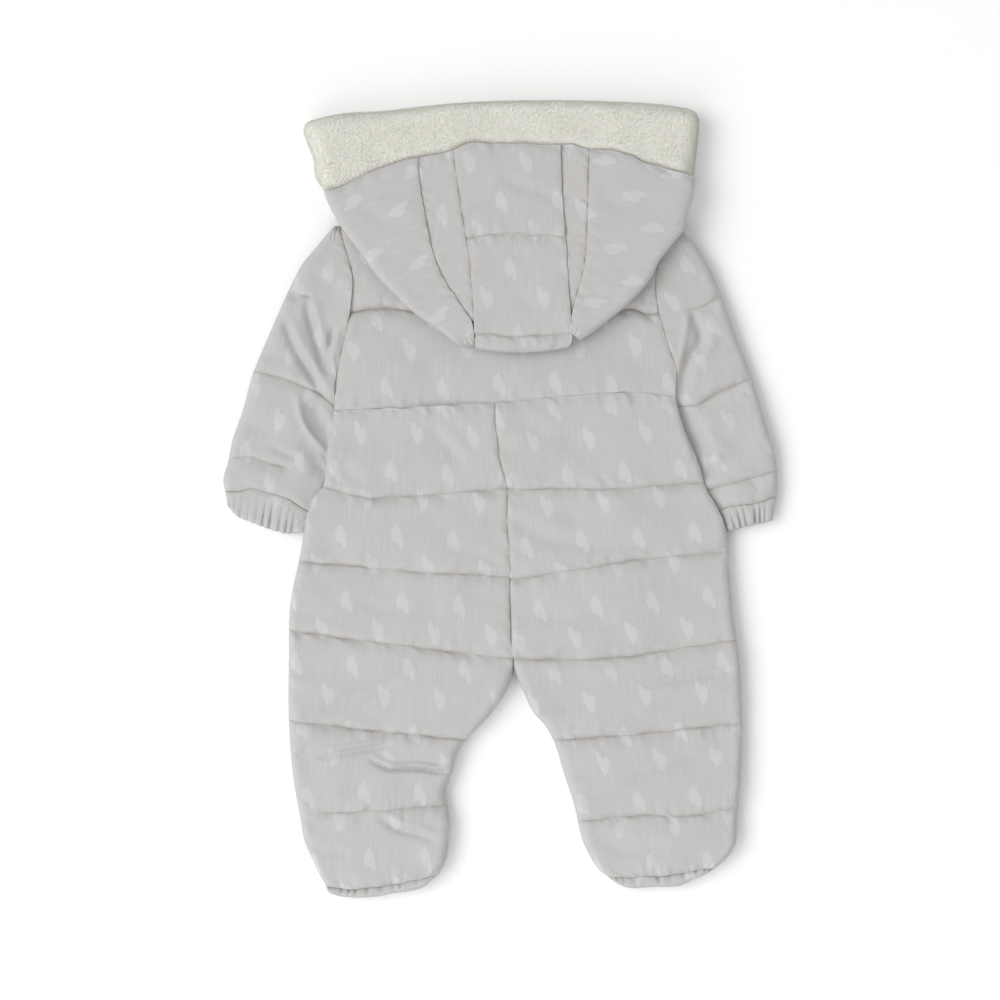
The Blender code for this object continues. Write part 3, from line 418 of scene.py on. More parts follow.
@dataclass(frozen=True)
class MelangeLinen:
    """Plain-woven linen and cotton melange with small hearts floated on top of it.

    Linen yarn is uneven, so darker and lighter slubs run along the warp, and a few thick
    weft threads cross them. The cloth is matt, with the faint bloom of a brushed yarn. The
    hearts are loose pale weft floats, a little raised and ribbed across.
    """

    thread_dark: str = "B8B7B5"
    thread_light: str = "C2C1C0"
    heart_thread: str = "C8C8CA"
    # painted shade along sewn lines and panel rims, where their grooves lie in shadow
    seam_shade: str = "A3988D"
    slub_width: float = 0.95  # mm
    slub_length: float = 26.0
    float_height: float = 1.5
    float_length: float = 9.0
    weave_pitch: float = 1.7  # drawn about four times the real pitch, so that it shows
    heart_column: float = 45.0  # mm between hearts of one row
    heart_row: float = 27.0
    heart_shift: float = 19.0  # each row starts this much further to the right
    heart_half_width: float = 4.0
    heart_half_height: float = 6.8
    heart_slant: float = 0.75  # its left lobe stands this much higher for each mm
    heart_notch: float = 2.4  # 1 for a plain heart, more for fuller lobes
    heart_cover: float = 0.78  # share of the ground that the floats hide
    ragged_ends: float = 1.2  # how far the hearts' sides stray, in mm
    rib_pitch: float = 2.4
    rib_depth: float = 0.35
    seam_shade_strength: float = 0.85  # how strongly the painted groove shade darkens a sewn line
    floats_share: float = 0.3  # of the weft floats against the warp slubs
    roughness: float = 0.88
    bloom: float = 0.12

    def make(self) -> bpy.types.Material:
        """Build the material. Its pattern follows the UV map named cloth, in mm."""
        material, tree, shader = new_material("melange_linen_with_woven_hearts")
        cloth = add_node(tree, "ShaderNodeUVMap", uv_map="cloth")
        slub = self._threads(tree, cloth, self.slub_width, self.slub_length)
        floats = self._threads(tree, cloth, self.float_length, self.float_height)
        heart, rib = self._hearts(tree, cloth)
        mixed = add_node(tree, "ShaderNodeMix",
                         {0: self.floats_share, 2: slub, 3: floats})
        shade = add_node(tree, "ShaderNodeMapRange",
                         {0: mixed, "From Min": 0.30, "From Max": 0.70})
        ground = blend(tree, shade, self.thread_dark, self.thread_light)
        share = calc(tree, "MULTIPLY", heart, self.heart_cover)
        patterned = blend(tree, share, ground, self.heart_thread)
        # The sewn attribute says where shade is painted along seams and rims.
        sewn = add_node(tree, "ShaderNodeAttribute", attribute_name="sewn")
        seam_shading = calc(tree, "MULTIPLY", sewn.outputs["Fac"], self.seam_shade_strength)
        yarn = calc(tree, "MULTIPLY_ADD", mixed, 2.0, self._weave(tree, cloth))
        relief = calc(tree, "MULTIPLY_ADD", rib, 0.8, yarn)
        bump = add_node(tree, "ShaderNodeBump", {
            "Strength": 0.5, "Distance": 0.12 * MM, "Height": relief})
        feed(tree, shader, {
            "Base Color": blend(tree, seam_shading, patterned, self.seam_shade),
            "Normal": bump, "Roughness": self.roughness, "Specular IOR Level": 0.25,
            "Sheen Weight": self.bloom, "Sheen Roughness": 0.5})
        return material

    def _threads(self, tree: bpy.types.NodeTree, cloth: bpy.types.Node, width: float,
                 length: float) -> bpy.types.Node:
        """Long uneven streaks, width along the weft and length along the warp, in mm."""
        stretched = add_node(tree, "ShaderNodeMapping", {
            "Vector": cloth, "Scale": (1 / width, 1 / length, 1.0)})
        return add_node(tree, "ShaderNodeTexNoise", {
            "Vector": stretched, "Scale": 1.0, "Detail": 2.0, "Roughness": 0.55})

    def _weave(self, tree: bpy.types.NodeTree, cloth: bpy.types.Node) -> bpy.types.Node:
        """Height of the crossing threads."""
        scaled = add_node(tree, "ShaderNodeMapping", {
            "Vector": cloth, "Scale": (1 / self.weave_pitch,) * 3})
        waves = [
            add_node(tree, "ShaderNodeTexWave", {
                "Vector": scaled, "Scale": 0.5, "Distortion": 0.8, "Detail": 1.0,
                "Detail Scale": 0.6}, bands_direction=direction)
            for direction in ("X", "Y")
        ]
        return calc(tree, "ADD", *(wave.outputs["Fac"] for wave in waves))

    def _hearts(self, tree: bpy.types.NodeTree,
                cloth: bpy.types.Node) -> tuple[bpy.types.Node, bpy.types.Node]:
        """Masks of the hearts and of their ribs: every other row stands on its head.

        Args:
            tree: The material's tree.
            cloth: The node that gives the place on the cloth.

        Returns:
            The heart mask and the ribs inside it.
        """
        def split(vector: bpy.types.Node) -> tuple[bpy.types.NodeSocket, ...]:
            return tuple(add_node(tree, "ShaderNodeSeparateXYZ", {0: vector}).outputs[:2])

        u, v = split(cloth)
        level = calc(tree, "DIVIDE", v, self.heart_row)
        row = calc(tree, "ROUND", level)
        up = calc(tree, "MULTIPLY", calc(tree, "SUBTRACT", level, row), self.heart_row)
        slid = calc(tree, "MULTIPLY_ADD", row, -self.heart_shift, u)
        half = self.heart_column / 2
        side = calc(tree, "WRAP", slid, half, -half)
        odd = calc(tree, "WRAP", row, 2.0, 0.0)
        turn = calc(tree, "MULTIPLY_ADD", odd, -2.0, 1.0)
        upright = calc(tree, "MULTIPLY", up, turn)
        sideways = calc(tree, "MULTIPLY", side, turn)
        ends = add_node(tree, "ShaderNodeTexNoise", {
            "Vector": add_node(tree, "ShaderNodeMapping", {
                "Vector": cloth, "Scale": (0.1, 1.1, 1.0)}), "Scale": 1.0})
        ragged = calc(tree, "MULTIPLY_ADD", ends, self.ragged_ends, sideways)
        centred = calc(tree, "SUBTRACT", ragged, self.ragged_ends / 2)
        slanted = calc(tree, "MULTIPLY_ADD", centred, self.heart_slant, upright)
        flat = add_node(tree, "ShaderNodeCombineXYZ", {0: centred, 1: slanted})
        local = add_node(tree, "ShaderNodeMapping", {
            "Vector": flat, "Location": (0.0, -self.heart_half_height * 0.12, 0.0),
            "Scale": (self.heart_half_width, self.heart_half_height, 1.0)},
            vector_type="TEXTURE")
        squared = add_node(tree, "ShaderNodeVectorMath", {0: local, 1: local},
                           operation="MULTIPLY")
        _, y = split(local)
        xx, yy = split(squared)
        # The heart is where (xx + yy - 1) cubed is less than xx times y cubed.
        inside = calc(tree, "SUBTRACT", calc(tree, "ADD", xx, yy), 1.0)
        notched = calc(tree, "MULTIPLY", calc(tree, "POWER", y, 3.0), xx)
        lift = calc(tree, "MULTIPLY", notched, self.heart_notch)
        outside = calc(tree, "SUBTRACT", calc(tree, "POWER", inside, 3.0), lift)
        mask = add_node(tree, "ShaderNodeMapRange", {
            0: outside, "From Min": 0.12, "From Max": -0.08})
        wave = calc(tree, "SINE", calc(tree, "MULTIPLY", v, 2 * math.pi / self.rib_pitch))
        raised = calc(tree, "MULTIPLY_ADD", wave, self.rib_depth, 1.0)
        return mask, calc(tree, "MULTIPLY", raised, mask)


@dataclass(frozen=True)
class TeddyFleece:
    """Short, dense polyester fleece. The pile stands up, so the surface is matt and soft,
    with a warm cream dye and a pale bloom at its rim. Its colour is painted darker where
    the tufts' bump is low, as shade between them, and mottled in larger clouds."""

    name: str
    # tip is the fleece's own colour; root is the painted shade between its tufts
    tip: str = "E9E8DF"
    root: str = "E3E2D8"
    tuft: float = 3.0  # mm
    cloud: float = 22.0
    bump: float = 0.4

    def make(self) -> bpy.types.Material:
        """Build the material on object coordinates."""
        material, tree, shader = new_material(self.name)
        tufts = spots(tree, self.tuft, Detail=3.0, Roughness=0.6)
        clouds = spots(tree, self.cloud, Detail=2.0)
        # Darker where the tufts are low, as painted shade between them, mixed with larger
        # random clouds.
        mixed = add_node(tree, "ShaderNodeMix", {0: 0.5, 2: tufts, 3: clouds})
        shade = add_node(tree, "ShaderNodeMapRange",
                         {0: mixed, "From Min": 0.35, "From Max": 0.62})
        bump = add_node(tree, "ShaderNodeBump", {
            "Strength": self.bump, "Distance": 0.5 * MM, "Height": tufts})
        feed(tree, shader, {
            "Base Color": blend(tree, shade, self.root, self.tip), "Normal": bump,
            "Roughness": 0.95, "Specular IOR Level": 0.15, "Sheen Weight": 0.35,
            "Sheen Roughness": 0.6})
        return material


@dataclass(frozen=True)
class SpunThread:
    """Spun polyester sewing thread: two plies twisted together, with a low lustre."""

    name: str = "spun_polyester_thread"
    ply_dark: str = "B2ABA2"
    ply_light: str = "CAC6BF"
    ply_pitch: float = 0.6  # mm

    def make(self) -> bpy.types.Material:
        """Build the material on object coordinates."""
        material, tree, shader = new_material(self.name)
        plies = bands(tree, self.ply_pitch, "DIAGONAL", Distortion=1.0)
        feed(tree, shader, {
            "Base Color": blend(tree, plies, self.ply_dark, self.ply_light),
            "Roughness": 0.6})
        return material


@dataclass(frozen=True)
class WovenTape:
    """Polyester zip tape, a fine herringbone weave, matt."""

    dark: str = "B3B0AA"
    light: str = "CFCDC8"
    pitch: float = 0.8  # mm

    def make(self) -> bpy.types.Material:
        """Build the material on object coordinates."""
        material, tree, shader = new_material("woven_polyester_tape")
        crossed = calc(tree, "MULTIPLY",
                       *(bands(tree, self.pitch, direction) for direction in ("X", "Y")))
        bump = add_node(tree, "ShaderNodeBump", {
            "Strength": 0.4, "Distance": 0.1 * MM, "Height": crossed})
        feed(tree, shader, {
            "Base Color": blend(tree, crossed, self.dark, self.light), "Normal": bump,
            "Roughness": 0.8})
        return material


@dataclass(frozen=True)
class PlatedAlloy:
    """Die-cast zinc alloy with satin nickel plating, tumbled, so faintly mottled."""

    plate: str = "C9C7C1"
    worn: str = "B3B1AB"
    mottle: float = 1.2  # mm

    def make(self) -> bpy.types.Material:
        """Build the material on object coordinates."""
        material, tree, shader = new_material("nickel_plated_zinc_alloy")
        mottle = spots(tree, self.mottle, Detail=3.0)
        rough = add_node(tree, "ShaderNodeMapRange", {
            0: mottle, "To Min": 0.26, "To Max": 0.42})
        feed(tree, shader, {
            "Base Color": blend(tree, mottle, self.worn, self.plate), "Roughness": rough,
            "Metallic": 1.0})
        return material


@dataclass(frozen=True)
class PaintedBoard:
    """A white painted board under the garment, matt, with a trace of roller texture."""

    light: str = "FCFCFC"
    dark: str = "FAFAFA"
    grain: float = 3.0  # mm

    def make(self) -> bpy.types.Material:
        """Build the material on object coordinates."""
        material, tree, shader = new_material("matt_white_painted_board")
        grain = spots(tree, self.grain)
        feed(tree, shader, {
            "Base Color": blend(tree, grain, self.dark, self.light), "Roughness": 0.9,
            "Specular IOR Level": 0.1})
        return material


# ---- What repeats, made by Geometry Nodes.


def add_object(name: str, data: Any) -> bpy.types.Object:
    """Make an object and put it in the scene."""
    made = bpy.data.objects.new(name, data)
    bpy.context.scene.collection.objects.link(made)
    return made


def declare(piece: bpy.types.Object, slot: str, *nodes: str) -> None:
    """Fix a piece to the garment and hide the CAD nodes that it replaces."""
    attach(piece, "root")
    if nodes:
        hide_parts(*nodes)


def add_piece(name: str, mesh: bpy.types.Mesh, material: bpy.types.Material, slot: str,
              *nodes: str) -> bpy.types.Object:
    mesh.materials.append(material)
    piece = add_object(name, mesh)
    declare(piece, slot, *nodes)
    return piece


@dataclass
class RepeatTree:
    """A Geometry Nodes tree with named inputs, whose result becomes a plain mesh.

    Its inputs are numbers, and Seed is a whole one.
    """

    name: str
    inputs: tuple[str, ...]
    tree: bpy.types.NodeTree = field(init=False)
    given: dict[str, bpy.types.NodeSocket] = field(init=False)

    def __post_init__(self) -> None:
        """Make the tree with its inputs and output."""
        self.tree = bpy.data.node_groups.new(self.name, "GeometryNodeTree")
        kinds = {"Geometry": "Geometry", **dict.fromkeys(self.inputs, "Float"),
                 "Material": "Material"}
        if "Seed" in kinds:
            kinds["Seed"] = "Int"
        for label, kind in kinds.items():
            self.tree.interface.new_socket(label, in_out="INPUT",
                                           socket_type="NodeSocket" + kind)
        self.tree.interface.new_socket("Geometry", in_out="OUTPUT",
                                       socket_type="NodeSocketGeometry")
        outputs = add_node(self.tree, "NodeGroupInput").outputs
        self.given = {label: outputs[label] for label in kinds}

    def along_lines(self) -> bpy.types.Node:
        """Points along the base's edges, one Pitch apart."""
        line = add_node(self.tree, "GeometryNodeMeshToCurve",
                        {"Mesh": self.given["Geometry"]})
        return add_node(self.tree, "GeometryNodeCurveToPoints", {
            "Curve": line, "Length": self.given["Pitch"]}, mode="LENGTH")

    def bead(self, segments: int, rings: int) -> bpy.types.NodeSocket:
        """A ball of size 1."""
        return add_node(self.tree, "GeometryNodeMeshUVSphere", {
            "Segments": segments, "Rings": rings, "Radius": 0.5}).outputs["Mesh"]

    def close(self, **repeat: Any) -> "RepeatTree":
        """End the tree: place the instances, make them real, finish and output them.

        Args:
            **repeat: Points, Instance and the other inputs of the instancing node.

        Returns:
            The tree itself.
        """
        placed = add_node(self.tree, "GeometryNodeInstanceOnPoints", repeat)
        real = add_node(self.tree, "GeometryNodeRealizeInstances", {0: placed})
        smoothed = add_node(self.tree, "GeometryNodeSetShadeSmooth", {0: real})
        dressed = add_node(self.tree, "GeometryNodeSetMaterial", {
            "Geometry": smoothed, "Material": self.given["Material"]})
        add_node(self.tree, "NodeGroupOutput", {0: dressed})
        return self

    def grow(self, name: str, base: bpy.types.Mesh, material: bpy.types.Material,
             slot: str, **values: float) -> bpy.types.Object:
        """Run the tree on a mesh and keep the result as a plain piece.

        Args:
            name: The new piece's name.
            base: What the instances follow.
            material: Their finish.
            slot: Not used.
            **values: A value for each named input.

        Returns:
            The new piece.
        """
        carrier = add_object(name, base)
        modifier = carrier.modifiers.new(self.name, "NODES")
        modifier.node_group = self.tree
        settings = {**values, "Material": material}
        for item in self.tree.interface.items_tree:
            if item.in_out == "INPUT" and item.name in settings:
                modifier[item.identifier] = settings[item.name]
        graph = bpy.context.evaluated_depsgraph_get()
        mesh = bpy.data.meshes.new_from_object(carrier.evaluated_get(graph))
        mesh.name = name
        carrier.modifiers.remove(modifier)
        carrier.data = mesh
        bpy.data.meshes.remove(base)
        declare(carrier, slot)
        return carrier


def stitch_tree() -> RepeatTree:
    """Stitches along lines: short rounded bars of thread, laid end to end with gaps."""
    made = RepeatTree("stitches", ("Pitch", "Length", "Width"))
    tree, given = made.tree, made.given
    points = made.along_lines()
    turned = add_node(tree, "FunctionNodeAlignRotationToVector", {
        "Vector": points.outputs["Tangent"]}, axis="Z")
    size = add_node(tree, "ShaderNodeCombineXYZ", {
        0: given["Width"], 1: given["Width"], 2: given["Length"]})
    return made.close(Points=points.outputs["Points"], Instance=made.bead(6, 5),
                      Rotation=turned, Scale=size)


def pile_tree() -> RepeatTree:
    """Fleece fibres: slim three-sided spikes scattered over a surface, leaning together.

    Each one leans by its tuft's own sweep and a little astray, out from the surface.
    """
    sweep, upright = 1.3, 0.9
    astray = (0.3, 0.3, 0.15)
    shortest, longest = 0.65, 1.15
    made = RepeatTree("pile", ("Density", "Length", "Width", "Tuft", "Seed"))
    tree, given = made.tree, made.given

    def scaled(vector: Any, factor: Any) -> bpy.types.Node:
        return add_node(tree, "ShaderNodeVectorMath", {0: vector, "Scale": factor},
                        operation="SCALE")

    roots = add_node(tree, "GeometryNodeDistributePointsOnFaces", {
        "Mesh": given["Geometry"], "Density": given["Density"], "Seed": given["Seed"]},
        distribute_method="RANDOM")
    place = add_node(tree, "GeometryNodeInputPosition")
    drift = add_node(tree, "ShaderNodeTexNoise", {
        "Vector": scaled(place, given["Tuft"]), "Scale": 1.0})
    centred = add_node(tree, "ShaderNodeVectorMath", {
        0: drift.outputs["Color"], 1: (0.5, 0.5, 0.5)}, operation="SUBTRACT")
    stray = add_node(tree, "FunctionNodeRandomValue", {
        0: tuple(-a for a in astray), 1: astray, "Seed": given["Seed"]},
        data_type="FLOAT_VECTOR")
    leaned = add_node(tree, "ShaderNodeVectorMath", {
        0: scaled(centred, sweep), 1: stray.outputs[0]}, operation="ADD")
    way = add_node(tree, "ShaderNodeVectorMath", {
        0: leaned, 1: scaled(roots.outputs["Normal"], upright)}, operation="ADD")
    turned = add_node(tree, "FunctionNodeAlignRotationToVector", {"Vector": way}, axis="Z")
    spike = add_node(tree, "GeometryNodeMeshCone", {
        "Vertices": 3, "Radius Top": 0.0,
        "Radius Bottom": calc(tree, "MULTIPLY", given["Width"], 0.5),
        "Depth": given["Length"]}, fill_type="NGON")
    size = add_node(tree, "FunctionNodeRandomValue", {
        2: shortest, 3: longest, "Seed": given["Seed"]}, data_type="FLOAT")
    return made.close(Points=roots.outputs["Points"], Instance=spike.outputs["Mesh"],
                      Rotation=turned, Scale=size.outputs[1])


def tooth_tree() -> RepeatTree:
    """Teeth of a zip chain along a line: rounded bars laid across it."""
    thickness = 0.42  # of the pitch
    made = RepeatTree("zip_teeth", ("Pitch", "Width", "Height"))
    tree, given = made.tree, made.given
    size = add_node(tree, "ShaderNodeCombineXYZ", {
        0: given["Width"], 1: calc(tree, "MULTIPLY", given["Pitch"], thickness),
        2: given["Height"]})
    return made.close(Points=made.along_lines().outputs["Points"],
                      Instance=made.bead(8, 6), Scale=size)


# ---- Padded panels.


LINE_WANDER = SmoothNoise(5)


class Facing(Enum):
    """Which way a panel's puffed outside faces."""

    UP = 1
    DOWN = -1


class Held(Enum):
    """How a panel's cloth is held."""

    LAID = "laid"
    GATHERED = "gathered"
    FOLDED = "folded"


@dataclass(frozen=True)
class Row:
    """A cross line of a panel from its left edge to its right edge.

    pinch is how far the padding is drawn down there: 1 where the panel ends, 0 on a
    plain row. joined rows are sewn to a neighbour. shown gives the shares of the length
    between which the line can be seen, and mark how dark the shade painted along
    its groove is.
    """

    left: Point
    inner: Seam
    right: Point
    pinch: float
    joined: bool = False
    shown: tuple[float, float] = (-1.0, 2.0)
    mark: float = 0.38

    def points(self, share: np.ndarray) -> np.ndarray:
        """Points of the row at each share of its length, with x and y last."""
        line = np.array([self.left, *self.inner, self.right], float)
        steps = np.linalg.norm(np.diff(line, axis=0), axis=1)
        run = np.concatenate([[0], np.cumsum(steps)])
        return smooth(run / run[-1], line, share)

    def visible(self, share: np.ndarray) -> np.ndarray:
        """How much of the line shows at each share of its length, from 0 to 1."""
        start, end = self.shown
        return eased((share - start) / 0.1 + 0.5) * eased((end - share) / 0.1 + 0.5)


def seam_row(left: Point, inner: Seam, right: Point) -> Row:
    """A row where the panel ends and its two walls meet."""
    return Row(left, inner, right, 1.0)


def joint_row(left: Point, inner: Seam, right: Point, pinch: float = 0.4,
              mark: float = 0.45) -> Row:
    """A row where the panel is sewn to the next one at about its own height."""
    return Row(left, inner, right, pinch, joined=True, mark=mark)


@dataclass(frozen=True)
class Span:
    """Rows from one long edge to another.

    Each row is given by the y of its two ends and the points between them. inset moves
    both ends inwards, in mm.
    """

    left: Edge
    right: Edge
    inset: float = 0.0

    def _ends(self, left_y: float, right_y: float, inner: Seam) -> tuple[Point, Seam, Point]:
        """The left end, the points between and the right end."""
        return (on(self.left, left_y, self.inset), inner,
                on(self.right, right_y, -self.inset))

    def seam(self, left_y: float, right_y: float, inner: Seam = ()) -> Row:
        """A row where the panel ends and its two walls meet."""
        return seam_row(*self._ends(left_y, right_y, inner))

    def joint(self, left_y: float, right_y: float, inner: Seam = (),
              *looks: float) -> Row:
        """A row where the panel is sewn to the next one, with its pinch and painted groove
        shade.
        """
        return joint_row(*self._ends(left_y, right_y, inner), *looks)

    def quilt(self, left_y: float, right_y: float, inner: Seam = (), pinch: float = 0.36,
              **looks: Any) -> Row:
        """A row of quilting."""
        return Row(*self._ends(left_y, right_y, inner), pinch, **looks)

    def plain(self, left_y: float, right_y: float, inner: Seam = ()) -> Row:
        """A row that only guides the outline."""
        return Row(*self._ends(left_y, right_y, inner), 0.0)


@dataclass(frozen=True)
class Crease:
    """A soft trough along a line of points, with a low ridge on its left side.

    A negative depth makes a ridge. Sizes are in mm. Its ends taper off.
    """

    path: tuple[Point, ...]
    width: float
    depth: float
    lip: float = 0.35  # the ridge's height as a share of the depth
    lip_away: float = 1.7  # how far off the ridge lies, in widths
    steps: int = 12  # places along a curved path

    def height(self, x: np.ndarray, y: np.ndarray) -> np.ndarray:
        """How far the crease raises the cloth at each point.

        Args:
            x: x of each point.
            y: y of each point.

        Returns:
            A height in mm for each point, mostly below 0.
        """
        line = np.array(self.path, float)
        if len(line) > 2:
            line = smooth(np.arange(len(line)), line,
                          np.linspace(0, len(line) - 1, self.steps))
        best = np.full(x.shape, 1e9)
        side = np.zeros(x.shape)
        place = np.zeros(x.shape)
        lengths = np.linalg.norm(np.diff(line, axis=0), axis=1)
        before = np.concatenate([[0], np.cumsum(lengths)])
        for k, length in enumerate(lengths):
            way = (line[k + 1] - line[k]) / length
            dx, dy = x - line[k, 0], y - line[k, 1]
            t = np.clip(dx * way[0] + dy * way[1], 0, length)
            away = np.hypot(dx - t * way[0], dy - t * way[1])
            closer = away < best
            best = np.where(closer, away, best)
            side = np.where(closer, np.sign(way[0] * dy - way[1] * dx), side)
            place = np.where(closer, (before[k] + t) / before[-1], place)
        taper = np.sqrt(np.clip(np.minimum(place, 1 - place) * 4, 0, 1)) * 0.85 + 0.15
        ridge = bell(best * side - self.lip_away * self.width, self.width)
        return self.depth * taper * (self.lip * ridge - bell(best, self.width))


@dataclass(frozen=True)
class Surface:
    """A panel's outer surface: rows by columns of points and what they carry, in mm."""

    points: np.ndarray
    cloth: np.ndarray  # place on the flat cloth, for the weave and the hearts
    sewn: np.ndarray  # share of painted groove shade: 1 on a sewn line, 0 away from it
    rows: list[np.ndarray]  # each quilting row

    def area(self) -> float:
        """Area of the surface in square metres."""
        p = self.points * MM
        a, b = p[1:, 1:] - p[:-1, :-1], p[1:, :-1] - p[:-1, 1:]
        return float(np.linalg.norm(np.cross(a, b), axis=-1).sum() / 2)

    def cut(self) -> tuple[float, float]:
        """Widest and longest measure over the cloth, in metres."""
        p = self.points * MM
        across = np.linalg.norm(np.diff(p, axis=1), axis=-1).sum(axis=1).max()
        down = np.linalg.norm(np.diff(p, axis=0), axis=-1).sum(axis=0).max()
        return float(across), float(down)


# How uneven a panel is: means and spreads of what varies along its sewn lines and over
# its padding, and runs, which are the lengths over which it varies, in mm.
PINCH_SPREAD, PINCH_RUN = 0.4, 27.0  # depth of a quilting row
THREAD_MEAN, THREAD_SPREAD, THREAD_RUN = 0.6, 0.65, 21.0  # pull of its thread, which sets its groove and the shade painted along it
SIDE_MEAN, SIDE_SPREAD, SIDE_RUN = 0.4, 0.35, 14.0  # strength of the shade painted along a side seam
STRAY_RUNS = (8.0, 55.0)  # a row strays by these, across and down
STRAY_REACH = 7.0  # and the cloth beside it strays with it
GROOVE_WIDTH = 1.3
# width of the shade painted along a sewn line
SHADE_WIDTH = 0.8
SIDE_PUCKER = 0.8  # a side seam's puckers against those of a row
SLOW_RUNS, QUICK_RUNS, QUICK_SHARE = (47.0, 39.0), (19.0, 15.0), 0.6  # the padding
SEAM_START = 12.0  # an edge turns from free to sewn over this length


@dataclass(frozen=True)
class PaddedPanel:
    """A padded wall. Heights are in millimetres over the table.

    base is its plain inside, and puff is added to the seam wall outside it. Above its
    joint height each side edge is sewn to a neighbour, and below it the edge is free.
    grain turns the weave, in degrees, and heart is a point where a heart stands upright.
    Each use of the panel's noise has a lane of its own, so that none repeats another.
    """

    rows: list[Row]
    left: Edge
    right: Edge
    base: float
    puff: float
    facing: Facing = Facing.UP
    left_round: float = SIDE_ROUND
    right_round: float = SIDE_ROUND
    left_joint: float = math.inf
    right_joint: float = math.inf
    joint_drop: float = 0.13  # share of the puff lost at a joined side edge
    joint_round: float = 5.0
    lap_end: float = math.inf  # between its joint and this y an edge lies on a neighbour
    lap_drop: float = 0.22
    lap_round: float = 4.0
    pinch_width: float = PINCH
    creases: tuple[Crease, ...] = ()
    gathers: int = 0
    gather_depth: float = 0.0
    gather_reach: float = 1e3  # from the first row, or from the last one if below 0
    edge_pull: float = 0.0  # how far a gather draws the cloth up, as a share of its depth
    groove: float = 0.6  # the thread's own narrow groove
    wander: float = 0.8  # how far a sewn line strays
    step: float = FINE_STEP
    grain: float = 0.0
    heart: Point = Point(0.0, 0.0)
    print_size: float = 1.0
    pucker: float = 1.05  # height of the puckers beside a sewn line
    pucker_pitch: float = 7.0
    swell: float = 1.3  # slow unevenness of the padding
    seed: int = 1

    def surface(self) -> Surface:
        """Work out the panel's outer surface.

        Returns:
            The surface.
        """
        places, down, share, knots = self._net()
        grid = smooth(places, knots, down)
        x, y = grid[..., 0].copy(), grid[..., 1].copy()
        if self.left:
            off = edge_x(self.left, y[:, 0]) + SEAM_GAP / 2 - x[:, 0]
            x += off[:, None] * (1 - share) ** 3
        if self.right:
            off = edge_x(self.right, y[:, -1]) - SEAM_GAP / 2 - x[:, -1]
            x += off[:, None] * share**3
        from_left = np.hypot(x - x[:, :1], y - y[:, :1])
        from_right = np.hypot(x - x[:, -1:], y - y[:, -1:])
        width = from_left[:, -1:].mean()
        full, at_left = self._side(from_left, y, self.left_round, self.left_joint)
        full_right, at_right = self._side(from_right, y, self.right_round,
                                          self.right_joint)
        full = full * full_right
        run = share[None, :] * width
        noise = SmoothNoise(self.seed)
        down_run = down[:, None]
        # Painted shade along the sewn side edges, uneven along them.
        sewn = np.maximum(at_left, at_right) * np.clip(
            SIDE_MEAN + SIDE_SPREAD * noise.at(down_run / SIDE_RUN, 93.0), 0, 1)
        height = np.zeros_like(x)
        strayed = np.zeros_like(x)
        for number, (place, row) in enumerate(zip(places, self.rows)):
            if row.pinch == 0:
                continue
            visible = row.visible(share)[None, :]
            away = (down - place)[:, None]
            near = np.abs(away)
            if row.pinch == 1:
                full = full * rounding(near, self.pinch_width)
            else:
                uneven = 1 + PINCH_SPREAD * noise.at(run / PINCH_RUN, 7.0 * number)
                reach = np.where(away < 0, UPPER_PINCH, 1.0) * self.pinch_width
                slope = np.clip(1 - near / reach, 0, 1) ** 2.2 * visible
                full = full * (1 - np.clip(row.pinch * uneven, 0, 1) * slope)
                strayed = np.maximum(strayed, bell(near, STRAY_REACH))
            pull = THREAD_MEAN + THREAD_SPREAD * noise.at(run / THREAD_RUN, 5.0 * number)
            strength = np.clip(pull, 0, 1) * visible
            if not row.joined and row.pinch < 1:
                height -= self.groove * strength * bell(near, GROOVE_WIDTH)
            # Painted shade along the row's groove, as strong as its thread's pull.
            sewn = np.maximum(sewn, row.mark * strength * bell(near, SHADE_WIDTH))
            height += self._puckers(noise, run, away, 11.0 * number) * visible
        y += self.wander * strayed * LINE_WANDER.at(x / STRAY_RUNS[0], y / STRAY_RUNS[1])
        height += self._puckers(noise, down_run, from_left, 57.0) * SIDE_PUCKER
        height += self._puckers(noise, down_run, -from_right, 83.0) * SIDE_PUCKER
        slow = noise.at(x / SLOW_RUNS[0] + 31, y / SLOW_RUNS[1] + 17)
        quick = noise.at(x / QUICK_RUNS[0], y / QUICK_RUNS[1] + 60)
        height += self.swell * (slow + QUICK_SHARE * quick)
        for crease in self.creases:
            height += crease.height(x, y)
        if self.gathers:
            start = down[-1] if self.gather_reach < 0 else 0.0
            depth = (self._gather(noise, share)[None, :]
                     * bell(down_run - start, self.gather_reach))
            height -= depth * np.sqrt(full)
            y += self.edge_pull * depth
        level = SEAM_WALL + self.puff * full + height * np.clip(full * 2.2, 0, 1)
        level = np.maximum(level, SEAM_WALL * 0.75)
        if self.facing is Facing.DOWN:
            level = np.minimum(level, self.base)
        z = self.base + self.facing.value * level
        points = np.stack([x, y, z], axis=-1)
        lines = [
            points[int(np.argmin(np.abs(down - place)))][row.visible(share) > 0.5]
            for place, row in zip(places, self.rows)
            if 0 < row.pinch < 1 and not row.joined
        ]
        return Surface(points, self._cloth(points), np.clip(sewn, 0, 1), lines)

